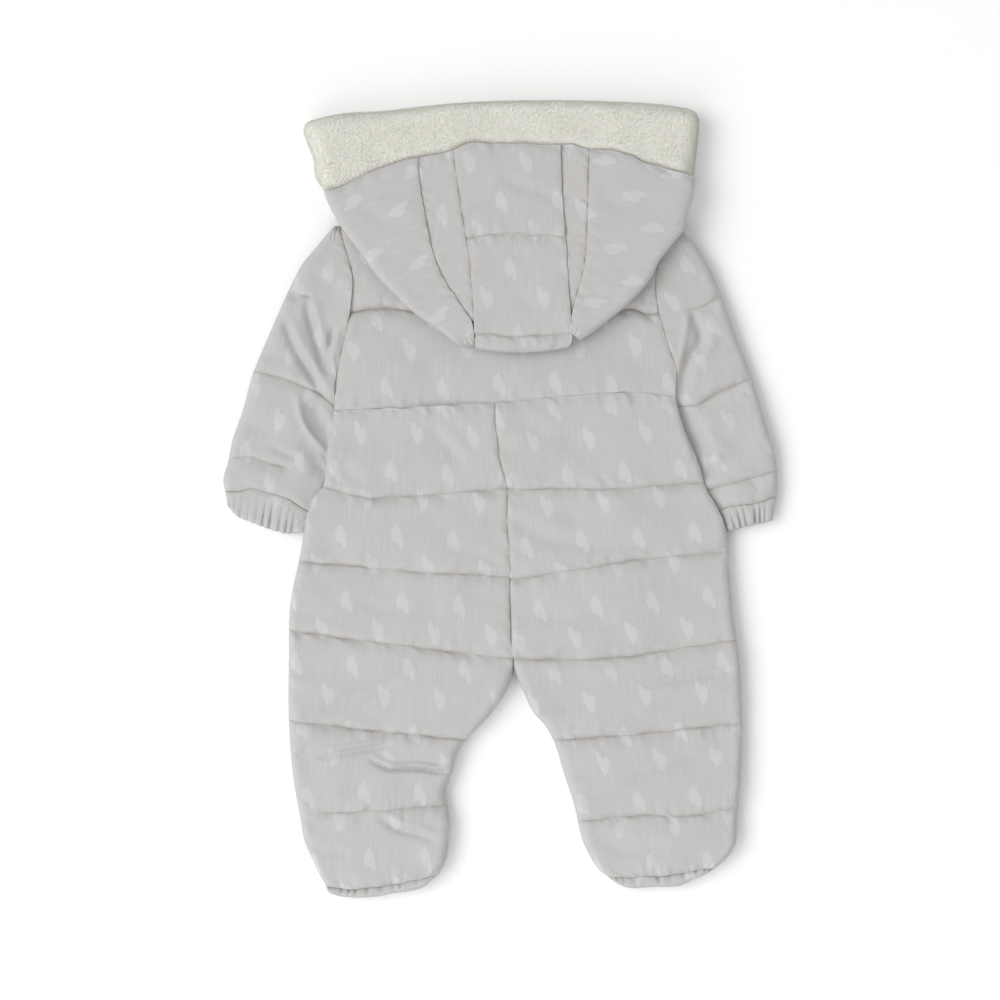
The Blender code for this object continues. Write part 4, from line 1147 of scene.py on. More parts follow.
    def _net(self) -> tuple[np.ndarray, np.ndarray, np.ndarray, np.ndarray]:
        """Where the rows and columns lie.

        Returns:
            The place of each row, the places to make, the shares across, and the points
            of each row at those shares.
        """
        ends = np.array([0.0, 0.5, 1.0])
        probe = np.array([row.points(ends) for row in self.rows])
        gaps = np.linalg.norm(np.diff(probe, axis=0), axis=2).max(axis=1)
        places = np.concatenate([[0], np.cumsum(gaps)])
        pinched = [p for p, row in zip(places, self.rows) if row.pinch > 0]
        stops = sorted({0.0, *pinched, places[-1]})
        down = np.unique(np.concatenate(
            [a + spaced(b - a, self.step) for a, b in zip(stops, stops[1:])]).round(6))
        width = float(np.linalg.norm(probe[:, 2] - probe[:, 0], axis=1).mean())
        share = spaced(width, self.step) / width
        knots = np.array([row.points(share) for row in self.rows])
        return places, down, share, knots

    def _side(self, away: np.ndarray, y: np.ndarray, radius: float,
              joint: float) -> tuple[np.ndarray, np.ndarray]:
        """Share of the puff beside a side edge, free below its joint and sewn above it.

        Args:
            away: Distance from the edge.
            y: Height of each point.
            radius: Rounding of the free part.
            joint: y above which the edge is sewn.

        Returns:
            A share for each point, and how much shade is painted beside the sewn edge, from 0
            to 1.
        """
        free = rounding(away, radius)
        if joint < math.inf:
            lapped = 1 - self.lap_drop * np.clip(1 - away / self.lap_round, 0, 1) ** 1.6
            free += (lapped - free) * eased((y - self.lap_end) / SEAM_START + 0.5)
        slope = np.clip(1 - away / self.joint_round, 0, 1) ** 2
        sewn = 1 - self.joint_drop * slope
        above = eased((y - joint) / SEAM_START + 0.5)
        return free + (sewn - free) * above, above * np.exp(-away / SHADE_WIDTH)

    def _puckers(self, noise: SmoothNoise, run: np.ndarray, away: np.ndarray,
                 lane: float) -> np.ndarray:
        """Puckers that run off a sewn line, uneven in height, reach and spacing.

        Args:
            noise: The panel's noise.
            run: Place along the line.
            away: Signed distance from it.
            lane: Which part of the noise the line uses.

        Returns:
            Heights in mm.
        """
        lane = lane + np.where(away < 0, 3.0, 0.0)  # the two sides differ
        near = np.abs(away)
        wander = 0.6 * noise.at(near / 6, lane + 1)
        folds = noise.at(run / self.pucker_pitch + wander, lane)
        fine = noise.at(run / (self.pucker_pitch * 0.45) + wander, lane + 20)
        reach = 7.5 + 5.0 * noise.at(run / 19, lane + 2)
        fade = bell(near, reach) * (1 - np.exp(-near / 0.9))  # flat on the line itself
        return self.pucker * (folds + 0.45 * fine) * fade

    def _gather(self, noise: SmoothNoise, share: np.ndarray) -> np.ndarray:
        """Depth of the gathers of an elasticated or eased panel, uneven in place and depth.

        Args:
            noise: The panel's noise.
            share: Share of the width at each column.

        Returns:
            A depth in mm for each column.
        """
        turn = share * self.gathers + 0.5 * noise.at(share * self.gathers * 0.7, 41.0)
        wave = (0.5 + 0.5 * np.cos(2 * math.pi * turn)) ** 3
        deep = np.clip(1 + 0.7 * noise.at(np.round(turn) * 0.73, 44.0), 0.35, 1.8)
        return self.gather_depth * wave * deep

    def _cloth(self, points: np.ndarray) -> np.ndarray:
        """Place of each point on the flat cloth, measured over the puffs.

        Args:
            points: The surface's points.

        Returns:
            Two measures in mm for each point, turned to the grain.
        """
        def spare(axis: int) -> np.ndarray:
            steps = np.diff(points, axis=axis)
            extra = np.linalg.norm(steps, axis=-1) - np.linalg.norm(steps[..., :2], axis=-1)
            total = np.cumsum(extra, axis=axis)
            total = np.insert(total, 0, 0.0, axis=axis)
            middle = total.shape[axis] // 2
            return total - np.take(total, [middle], axis=axis)

        u = points[..., 0] + spare(1) - self.heart.x
        v = points[..., 1] - spare(0) - self.heart.y
        c, s = math.cos(math.radians(self.grain)), math.sin(math.radians(self.grain))
        return np.stack([u * c + v * s, v * c - u * s], axis=-1) / self.print_size


def under_wall(top: float, **more: Any) -> dict[str, Any]:
    """A panel's settings for a wall that fills the room from the table up to its top."""
    return dict(base=top, puff=top - SEAM_WALL, facing=Facing.DOWN, **more)


def quads_between(rows: int, columns: int) -> np.ndarray:
    """The four corners of each face of a net, turning to the left seen from above."""
    index = np.arange(rows * columns).reshape(rows, columns)
    return np.stack([index[:-1, :-1], index[1:, :-1], index[1:, 1:], index[:-1, 1:]],
                    axis=-1).reshape(-1, 4)


def shell_mesh(name: str, surfaces: list[tuple[Surface, PaddedPanel]]) -> bpy.types.Mesh:
    """A closed mesh for each surface: the puffed outside, a turned-in rim, a flat inside.

    Args:
        name: The mesh's name.
        surfaces: Surfaces with the panels that they belong to.

    Returns:
        One mesh that holds them all.
    """
    verts: list[np.ndarray] = []
    faces: list[Any] = []
    cloth: list[np.ndarray] = []
    sewn: list[np.ndarray] = []
    start = 0
    for surface, panel in surfaces:
        rows, columns = surface.points.shape[:2]
        index = np.arange(rows * columns).reshape(rows, columns) + start
        ring = np.concatenate([index[0], index[1:, -1], index[-1, -2::-1], index[-2:0:-1, 0]])
        outer = surface.points.reshape(-1, 3)
        rim = outer[ring - start].copy()
        tangent = np.roll(rim[:, :2], -1, axis=0) - np.roll(rim[:, :2], 1, axis=0)
        inward = np.stack([-tangent[:, 1], tangent[:, 0]], axis=1)
        inward /= np.maximum(np.linalg.norm(inward, axis=1, keepdims=True), 1e-9)
        doubled_area = (rim[:, 0] * np.roll(rim[:, 1], -1)
                        - np.roll(rim[:, 0], -1) * rim[:, 1]).sum()
        inward *= np.sign(doubled_area)
        corners = rim[np.cumsum([0, columns - 1, rows - 1, columns - 1]), :2]
        away = np.linalg.norm(rim[:, None, :2] - corners, axis=2).min(axis=1)
        inward *= np.clip(away / CORNER_EASE, 0, 1)[:, None]
        rings = []
        for depth, inset in RIM_RINGS:
            lower = rim.copy()
            lower[:, 2] += (panel.base - rim[:, 2]) * depth
            lower[:, :2] += inward * inset * RIM_INSET
            rings.append(lower)
        verts += [outer, *rings]
        size = len(ring)
        first = start + rows * columns
        loops = [ring] + [np.arange(size) + first + k * size for k in range(len(rings))]
        quads = quads_between(rows, columns) + start
        sides = [
            np.stack([upper, np.roll(upper, -1), np.roll(lower, -1), lower], axis=-1)
            for upper, lower in zip(loops, loops[1:])
        ]
        floor = loops[-1]
        turn = panel.facing.value
        for group in (quads, *sides, floor[None]):
            faces += group[:, ::turn].tolist()
        ring_cloth = surface.cloth.reshape(-1, 2)[ring - start]
        cloth += [surface.cloth.reshape(-1, 2)] + [ring_cloth] * len(rings)
        # The rim's walls get painted shade too.
        sewn += [surface.sewn.ravel()] + [np.full(size, RIM_SHADE)] * len(rings)
        start = first + size * len(rings)
    mesh = bpy.data.meshes.new(name)
    mesh.from_pydata((np.concatenate(verts) * MM).tolist(), [], faces)
    loop_verts = np.zeros(len(mesh.loops), np.int32)
    mesh.loops.foreach_get("vertex_index", loop_verts)
    layer = mesh.uv_layers.new(name="cloth")
    layer.data.foreach_set("uv", np.concatenate(cloth)[loop_verts].astype(np.float32).ravel())
    # The sewn attribute carries the painted groove and rim shade to the linen.
    mark = mesh.attributes.new("sewn", "FLOAT", "POINT")
    mark.data.foreach_set("value", np.concatenate(sewn).astype(np.float32))
    mesh.shade_smooth()
    mesh.set_sharp_from_angle(angle=math.radians(SHARP_ANGLE))
    return mesh


def open_mesh(name: str, surface: Surface, lowest: float) -> bpy.types.Mesh:
    """The puffed outside alone, for what grows on it.

    Args:
        name: The mesh's name.
        surface: The surface, whose rows run down and columns to the right.
        lowest: Faces below this height, in mm, are left out.

    Returns:
        The mesh.
    """
    points = surface.points.reshape(-1, 3)
    quads = quads_between(*surface.points.shape[:2])
    quads = quads[points[quads][..., 2].min(axis=1) > lowest]
    mesh = bpy.data.meshes.new(name)
    mesh.from_pydata((points * MM).tolist(), [], quads.tolist())
    return mesh


def line_mesh(name: str, lines: list[np.ndarray], raised: float) -> bpy.types.Mesh:
    """Loose polylines as a mesh of edges.

    Args:
        name: The mesh's name.
        lines: Points in mm for each line.
        raised: How far the lines lie above them, in mm.

    Returns:
        The mesh.
    """
    verts: list[Any] = []
    edges: list[tuple[int, int]] = []
    for line in lines:
        edges += [(len(verts) + k, len(verts) + k + 1) for k in range(len(line) - 1)]
        verts += ((line + np.array([0.0, 0.0, raised])) * MM).tolist()
    mesh = bpy.data.meshes.new(name)
    mesh.from_pydata(verts, edges, [])
    return mesh


@dataclass
class Workroom:
    """The finishes and the repeat trees that every sub-assembly uses."""

    linen: bpy.types.Material = field(init=False)
    fleece: bpy.types.Material = field(init=False)
    pile: bpy.types.Material = field(init=False)
    thread: bpy.types.Material = field(init=False)
    tape: bpy.types.Material = field(init=False)
    metal: bpy.types.Material = field(init=False)
    stitches: RepeatTree = field(init=False)
    fibres: RepeatTree = field(init=False)
    teeth: RepeatTree = field(init=False)

    def __post_init__(self) -> None:
        """Make every finish and every tree once."""
        self.linen = MelangeLinen().make()
        self.fleece = TeddyFleece("polyester_fleece_backing").make()
        self.pile = TeddyFleece("polyester_fleece_pile", bump=0.0).make()
        self.thread = SpunThread().make()
        self.tape = WovenTape().make()
        self.metal = PlatedAlloy().make()
        self.stitches = stitch_tree()
        self.fibres = pile_tree()
        self.teeth = tooth_tree()

    def sew(self, name: str, panels: dict[str, PaddedPanel]) -> list[Surface]:
        """Args:
            name: The piece's name.
            panels: Panels by the CAD node that each stands for.

        Returns:
            The panels' surfaces.
        """
        surfaces = [panel.surface() for panel in panels.values()]
        mesh = shell_mesh(name, list(zip(surfaces, panels.values())))
        piece = add_piece(name, mesh, self.linen, "linen_cloth", *panels)
        cuts = [surface.cut() for surface in surfaces]
        area = sum(surface.area() for surface in surfaces)
        return surfaces

    def stitch(self, name: str, surfaces: list[Surface]) -> None:
        """Make the stitches along every quilting row of some surfaces as one piece."""
        raised, pitch, length, width = 0.25, 3.1, 2.3, 0.5  # mm, over the cloth and along it
        lines = [line[2:-2] for surface in surfaces for line in surface.rows]
        piece = self.stitches.grow(name, line_mesh(name, lines, raised), self.thread,
                                   "linen_cloth", Pitch=pitch * MM, Length=length * MM,
                                   Width=width * MM)
        log.info("%s: %d faces", name, len(piece.data.polygons))


# ---- The garment.


@dataclass
class Body:
    """The yoke, the two backs with their legs, and the two fronts under them."""

    left_creases: tuple[Crease, ...] = (
        Crease((Point(-144, -206), Point(-126, -202), Point(-108, -199), Point(-89, -195)),
               2.6, 2.9, 0.6),
        Crease((Point(-105, -207), Point(-89, -214.5), Point(-65, -214.5), Point(-50, -217),
                Point(-40, -214.5)), 2.0, 3.4, 0.7),
        Crease((Point(-164, -204), Point(-153, -199)), 3.0, 1.0),
        Crease((Point(-97, -254), Point(-81, -263), Point(-66, -267), Point(-54, -271)),
               3.2, 2.6, 0.5),
        Crease((Point(-144, -168), Point(-109, -154), Point(-91, -148), Point(-62, -132)),
               6.0, 1.5),
        Crease((Point(-57, 56), Point(-46, 46), Point(-33, 32)), 5.5, 1.6),
        Crease((Point(-129, 28), Point(-109, 12)), 6.0, 1.2),
        Crease((Point(-40, -40), Point(-18, -44), Point(1, -52)), 5.0, 0.9),
        Crease((Point(-120, -78), Point(-96, -86), Point(-66, -88)), 6.0, 0.9),
        Crease((Point(-157, -274), Point(-144, -280), Point(-122, -282)), 5.0, 1.2),
    )
    right_creases: tuple[Crease, ...] = (
        Crease((Point(31, -168), Point(59, -162), Point(110, -148)), 5.0, 1.6),
        Crease((Point(110, -148), Point(150, -141), Point(186, -134)), 4.0, 2.1),
        Crease((Point(58, -237), Point(95, -232), Point(112, -224)), 5.5, 1.6),
        Crease((Point(110, -224), Point(152, -212), Point(186, -204)), 5.0, 1.9),
        Crease((Point(11, -20), Point(50, -34), Point(94, -36)), 7.0, 1.5),
        Crease((Point(94, -36), Point(122, -36), Point(150, -32)), 7.0, 1.3),
        Crease((Point(16, 60), Point(40, 50), Point(72, 52)), 7.0, 0.9),
        Crease((Point(30, -90), Point(66, -96), Point(104, -84)), 7.0, 0.9),
        Crease((Point(76, -270), Point(98, -279), Point(132, -276)), 6.0, 1.3),
    )
    front_pinch: float = 0.35  # the front's quilting, pressed flat on the table
    lap_end: float = -20.0  # down to here the sides lie against the sleeves

    def panels(self) -> dict[str, PaddedPanel]:
        """The body's panels by name.

        Returns:
            Panels that stand for the CAD nodes of the same names.
        """
        left_leg = CENTRE_BACK + INSEAM_LEFT
        right_leg = CENTRE_BACK + INSEAM_RIGHT
        front_left_edge = ZIP_LEFT + ZIP_END_LEFT + INSEAM_LEFT
        front_right_edge = ZIP_RIGHT + ZIP_END_RIGHT + INSEAM_RIGHT
        whole = Span(BODY_LEFT, BODY_RIGHT)
        left, right = Span(BODY_LEFT, left_leg), Span(right_leg, BODY_RIGHT)
        under_left = Span(BODY_LEFT, front_left_edge)
        under_right = Span(front_right_edge, BODY_RIGHT)
        yoke = [
            whole.seam(221, 221, along(SHOULDER_LINE, -110, 120, -1.5)),
            whole.quilt(149, 149, [
                Point(-112, 151.2), Point(-99.6, 152), Point(-90.4, 153.6),
                Point(-81.2, 152), Point(-70.8, 150.4), Point(97.6, 152.5),
                Point(108.2, 151.4), Point(117, 148)], 0.6, mark=1.0),
            whole.joint(71.6, 81.8, [
                Point(-70, 74.1), Point(-5, 77.6), Point(60, 83.6), Point(110, 86.1)],
                0.08, 0.1),
        ]
        back_left = [
            left.joint(71.55, 77.55, [Point(-70, 74.05)], 0.26, 0.1),
            left.plain(42, 45),
            left.quilt(10, 8.8, [Point(-106, 1.6), Point(-69, 3.2)]),
            left.quilt(-49, -62, [Point(-105, -54)]),
            left.quilt(-104, -127, [Point(-81, -116)]),
            left.plain(-140, -160),
            left.quilt(-176, -192, [Point(-121, -182)]),
            left.quilt(-250, -243.5, [Point(-109, -248.6)], shown=(0.16, 2.0)),
            left.plain(-281, -278),
            left.joint(-308, -299.4, [
                Point(-125, -310.5), Point(-97, -308.4), Point(-77, -305.4)], 0.4),
        ]
        back_right = [
            right.joint(77.55, 81.75, [Point(60, 83.55), Point(110, 86.05)], 0.26, 0.1),
            right.plain(45, 50),
            right.quilt(8.8, 14, [Point(111, 10)]),
            right.quilt(-64, -41, [Point(111, -48)]),
            right.quilt(-127, -112, [Point(79, -127), Point(159, -116)]),
            right.plain(-160, -146),
            right.quilt(-192, -178, [Point(95, -188)]),
            right.quilt(-257, -245, [Point(111, -252), Point(159, -251)]),
            right.plain(-281, -273),
            right.joint(-301.8, -293, [Point(109, -301.4), Point(126, -300)], 0.4),
        ]
        pinch = self.front_pinch
        front_left = [
            under_left.seam(221, ZIP_TOP, along(SHOULDER_LINE, -110, -60, -3)),
            under_left.quilt(150, 150, pinch=pinch),
            under_left.quilt(71, 71, pinch=pinch),
            under_left.quilt(0, 0, pinch=pinch),
            under_left.quilt(-74, -90, pinch=pinch),
            under_left.plain(-104, -127),
            under_left.quilt(-176, -192, pinch=pinch),
            under_left.quilt(-249, -245, pinch=pinch),
            under_left.plain(-285, -283, [Point(-97, -284)]),
            under_left.seam(-306, -299.5, SOLE_LEFT_END),
        ]
        front_right = [
            under_right.seam(ZIP_TOP, 221, along(SHOULDER_LINE, 60, 120, -3)),
            under_right.quilt(150, 150, pinch=pinch),
            under_right.quilt(71, 71, pinch=pinch),
            under_right.quilt(0, 0, pinch=pinch),
            under_right.quilt(-90, -78, pinch=pinch),
            under_right.plain(-127, -112),
            under_right.quilt(-192, -178, pinch=pinch),
            under_right.quilt(-250, -245, pinch=pinch),
            under_right.plain(-283, -277, [Point(120, -280)]),
            under_right.seam(-301, -295, SOLE_RIGHT_END),
        ]
        front = under_wall(BODY_FRONT_TOP, pinch_width=FRONT_ROUND, step=HIDDEN_STEP,
                           pucker=0.2, swell=0.2)
        return {
            "back_yoke": PaddedPanel(
                yoke, BODY_LEFT, BODY_RIGHT, BODY_BACK_BASE, YOKE_PUFF,
                left_joint=70, right_joint=70, grain=1.0, heart=Point(-73.2, 116),
                seed=11),
            "back_left": PaddedPanel(
                back_left, BODY_LEFT, left_leg, BODY_BACK_BASE, BODY_PUFF, left_round=7.5,
                left_joint=66, right_joint=-134, lap_end=self.lap_end,
                creases=self.left_creases, grain=-2.5, heart=Point(-67.6, 56), seed=12),
            "back_right": PaddedPanel(
                back_right, right_leg, BODY_RIGHT, BODY_BACK_BASE, BODY_PUFF,
                right_round=7.5, left_joint=-134, right_joint=66, lap_end=self.lap_end,
                creases=self.right_creases, grain=4.5, heart=Point(58.8, -111.2),
                seed=13),
            "front_left": PaddedPanel(
                front_left, BODY_LEFT, front_left_edge, right_round=4.0,
                left_round=FRONT_ROUND, heart=Point(-60, 30), seed=14, **front),
            "front_right": PaddedPanel(
                front_right, front_right_edge, BODY_RIGHT, left_round=4.0,
                right_round=FRONT_ROUND, heart=Point(60, 30), seed=15, **front),
        }

    def build(self, room: Workroom) -> None:
        """Make the panels and their quilting stitches.

        Args:
            room: Finishes and trees.
        """
        surfaces = []
        for name, panel in self.panels().items():
            made = room.sew(name, {name: panel})
            if panel.facing is Facing.UP:
                surfaces += made
        room.stitch("body_quilting_stitches", surfaces)


@dataclass
class Feet:
    """The gathered end of each foot, from the foot seam round to the front."""

    left_gathers: int = 10
    right_gathers: int = 7

    def build(self, room: Workroom) -> None:
        """Make both foot ends.

        Args:
            room: Finishes and trees.
        """
        left = [
            joint_row(Point(-139.5, -308.1),
                      [Point(-125, -310.6), Point(-97, -308.5), Point(-77, -305.5)],
                      Point(-54, -299.6), 0.3),
            seam_row(Point(-140, -310.4), SOLE_LEFT_END, Point(-53, -301)),
        ]
        right = [
            joint_row(Point(88.5, -301.9), [Point(109, -301.5), Point(126, -300.1)],
                      Point(166, -293.3), 0.3),
            seam_row(Point(89, -304.5), SOLE_RIGHT_END, Point(167, -296.6)),
        ]
        made = dict(left=[], right=[], base=BODY_BACK_BASE, puff=SOLE_PUFF, left_round=5.0,
                    right_round=5.0, pinch_width=5.0, gather_depth=1.5, step=0.7,
                    gather_reach=4.5, pucker=0.3, swell=0.3)
        panels = {
            "sole_left": PaddedPanel(left, gathers=self.left_gathers, seed=21, **made),
            "sole_right": PaddedPanel(right, gathers=self.right_gathers, seed=22, **made),
        }
        for name, panel in panels.items():
            room.sew(name, {name: panel})


@dataclass
class Sleeves:
    """Each sleeve's upper and lower wall, with its elasticated cuff casing."""

    casing_drop: float = 0.1  # the casing starts this far below the sleeve's last row
    tuck_round: float = 20.0  # below the armpit the sleeve slopes down to the body
    left_creases: tuple[Crease, ...] = (
        Crease((Point(-173, 142), Point(-165, 121), Point(-153, 102), Point(-142, 82)),
               3.8, 4.4),
        Crease((Point(-156, 158), Point(-151, 137), Point(-145, 118), Point(-141, 100)),
               3.8, 4.4),
        Crease((Point(-134, 137), Point(-138.5, 118), Point(-137.5, 100)), 2.6, 3.6),
        Crease((Point(-163, 84), Point(-160, 67), Point(-153, 53), Point(-141, 39)),
               2.4, -2.6, 0.0),
        Crease((Point(-151, 80), Point(-147, 66), Point(-140, 52)), 7.5, 4.6, 0.0),
        Crease((Point(-160, 50), Point(-150, 36), Point(-143, 20)), 6.5, 2.6, 0.0),
        Crease((Point(-184, 42), Point(-172, 37), Point(-162, 33)), 3.0, 1.4),
        Crease((Point(-205, 62), Point(-190, 55), Point(-178, 56)), 5.0, 1.0),
        Crease((Point(-196, 120), Point(-183, 128), Point(-170, 126)), 5.0, 1.0),
        Crease((Point(-150, 180), Point(-138, 172), Point(-128, 174)), 5.0, 1.0),
    )
    right_creases: tuple[Crease, ...] = (
        Crease((Point(152, 149), Point(159, 134), Point(158, 123), Point(149, 111),
                Point(142, 80)), 4.6, 4.8, 0.1),
        Crease((Point(150, 153), Point(146, 130), Point(141.5, 102)), 2.6, -2.2, 0.0),
        Crease((Point(162, 21), Point(171, 23), Point(180, 27)), 5.0, 2.6, 0.5),
        Crease((Point(146, 70), Point(154, 52), Point(162, 34)), 8.0, 3.4, 0.0),
        Crease((Point(170, 60), Point(182, 48), Point(200, 50)), 6.0, 1.2),
        Crease((Point(168, 118), Point(180, 124), Point(190, 118)), 6.0, 1.0),
        Crease((Point(176, 24), Point(188, 34), Point(206, 36)), 6.0, 1.0),
    )

    def _lowered(self, row: Row) -> Row:
        """The casing's first row, a little below the sleeve's last one."""
        drop = self.casing_drop
        shift = [Point(p.x, p.y - drop) for p in (row.left, *row.inner, row.right)]
        return joint_row(shift[0], shift[1:-1], shift[-1], 0.3)

    def build(self, room: Workroom) -> None:
        """Make both sleeves, their cuffs and their stitches.

        Args:
            room: Finishes and trees.
        """
        inner_left = moved(BODY_LEFT, -0.1)
        inner_right = moved(BODY_RIGHT, 0.1)
        left, right = Span(SLEEVE_LEFT, inner_left), Span(inner_right, SLEEVE_RIGHT)
        left_last = left.joint(6.4, -9, [Point(-193, 8), Point(-178, 3.2)], 0.4)
        left_rows = [
            left.seam(219, 219),
            left.quilt(166, 158, [Point(-154, 162)], 0.3, shown=(-1.0, 0.35)),
            left.quilt(103, 75, [Point(-168, 95), Point(-146, 85)]),
            left.quilt(33, 13, [Point(-200, 33.6), Point(-183, 29)], shown=(-1.0, 0.62)),
            left_last,
        ]
        right_last = right.joint(-9, 2.4, [Point(180, -6.5), Point(200, -3)], 0.4)
        right_rows = [
            right.seam(219, 217),
            right.quilt(152, 163, [Point(158, 153.6)], 0.3, shown=(0.4, 2.0)),
            right.quilt(75, 97, [Point(156, 76), Point(172, 85)], 0.5),
            right.quilt(7, 23.6, [Point(187, 14)]),
            right_last,
        ]
        left_end = left.seam(-5, -25.5, CUFF_LEFT_END)
        right_end = right.seam(-25.5, -16.4, CUFF_RIGHT_END)
        front = under_wall(BODY_FRONT_TOP, pinch_width=FRONT_ROUND, left_round=FRONT_ROUND,
                           right_round=FRONT_ROUND, step=HIDDEN_STEP, pucker=0.2,
                           swell=0.2)
        tucked = dict(lap_end=-math.inf, lap_drop=0.62, lap_round=self.tuck_round)
        cuff = dict(base=BODY_BACK_BASE, puff=CUFF_PUFF, pinch_width=6.0, left_round=5.0,
                    right_round=5.0, gather_depth=2.2, gather_reach=-16.0, edge_pull=0.5,
                    step=0.8, pucker=0.5, pucker_pitch=4.0, swell=0.5)
        cuff_front = {**front, "pinch_width": 5.0, "left_round": 5.0, "right_round": 5.0,
                      "gather_depth": 2.4, "gather_reach": -10.0, "edge_pull": 0.5,
                      "step": 1.4}
        sleeve = dict(base=BODY_BACK_BASE, puff=SLEEVE_PUFF, joint_drop=0.07)
        upper_left = PaddedPanel(
            left_rows, SLEEVE_LEFT, inner_left, creases=self.left_creases, right_joint=80,
            grain=-15.5, heart=Point(-178, 60), seed=31, **sleeve, **tucked)
        upper_right = PaddedPanel(
            right_rows, inner_right, SLEEVE_RIGHT, creases=self.right_creases,
            left_joint=80, grain=17.0, heart=Point(182, 60), seed=32, **sleeve, **tucked)
        surfaces = []
        for name, upper in (("sleeve_left", upper_left), ("sleeve_right", upper_right)):
            ends = [replace(row, pinch=1.0) for row in (upper.rows[0], upper.rows[-1])]
            lower = PaddedPanel(ends, upper.left, upper.right, grain=upper.grain, **front)
            surfaces.append(room.sew(
                name, {name + "_back": upper, name + "_front": lower})[0])
        for name, last, end, span, gathers, joint in (
            ("cuff_left", left_last, left_end, left, 10, "right_joint"),
            ("cuff_right", right_last, right_end, right, 7, "left_joint"),
        ):
            made = dict(rows=[self._lowered(last), end], left=span.left, right=span.right,
                        gathers=gathers)
            upper = PaddedPanel(seed=33 + gathers, **{joint: 80.0}, **made, **cuff, **tucked)
            lower = PaddedPanel(seed=43 + gathers, **made, **cuff_front)
            room.sew(name, {name + "_back": upper, name + "_front": lower})
        room.stitch("sleeve_quilting_stitches", surfaces)


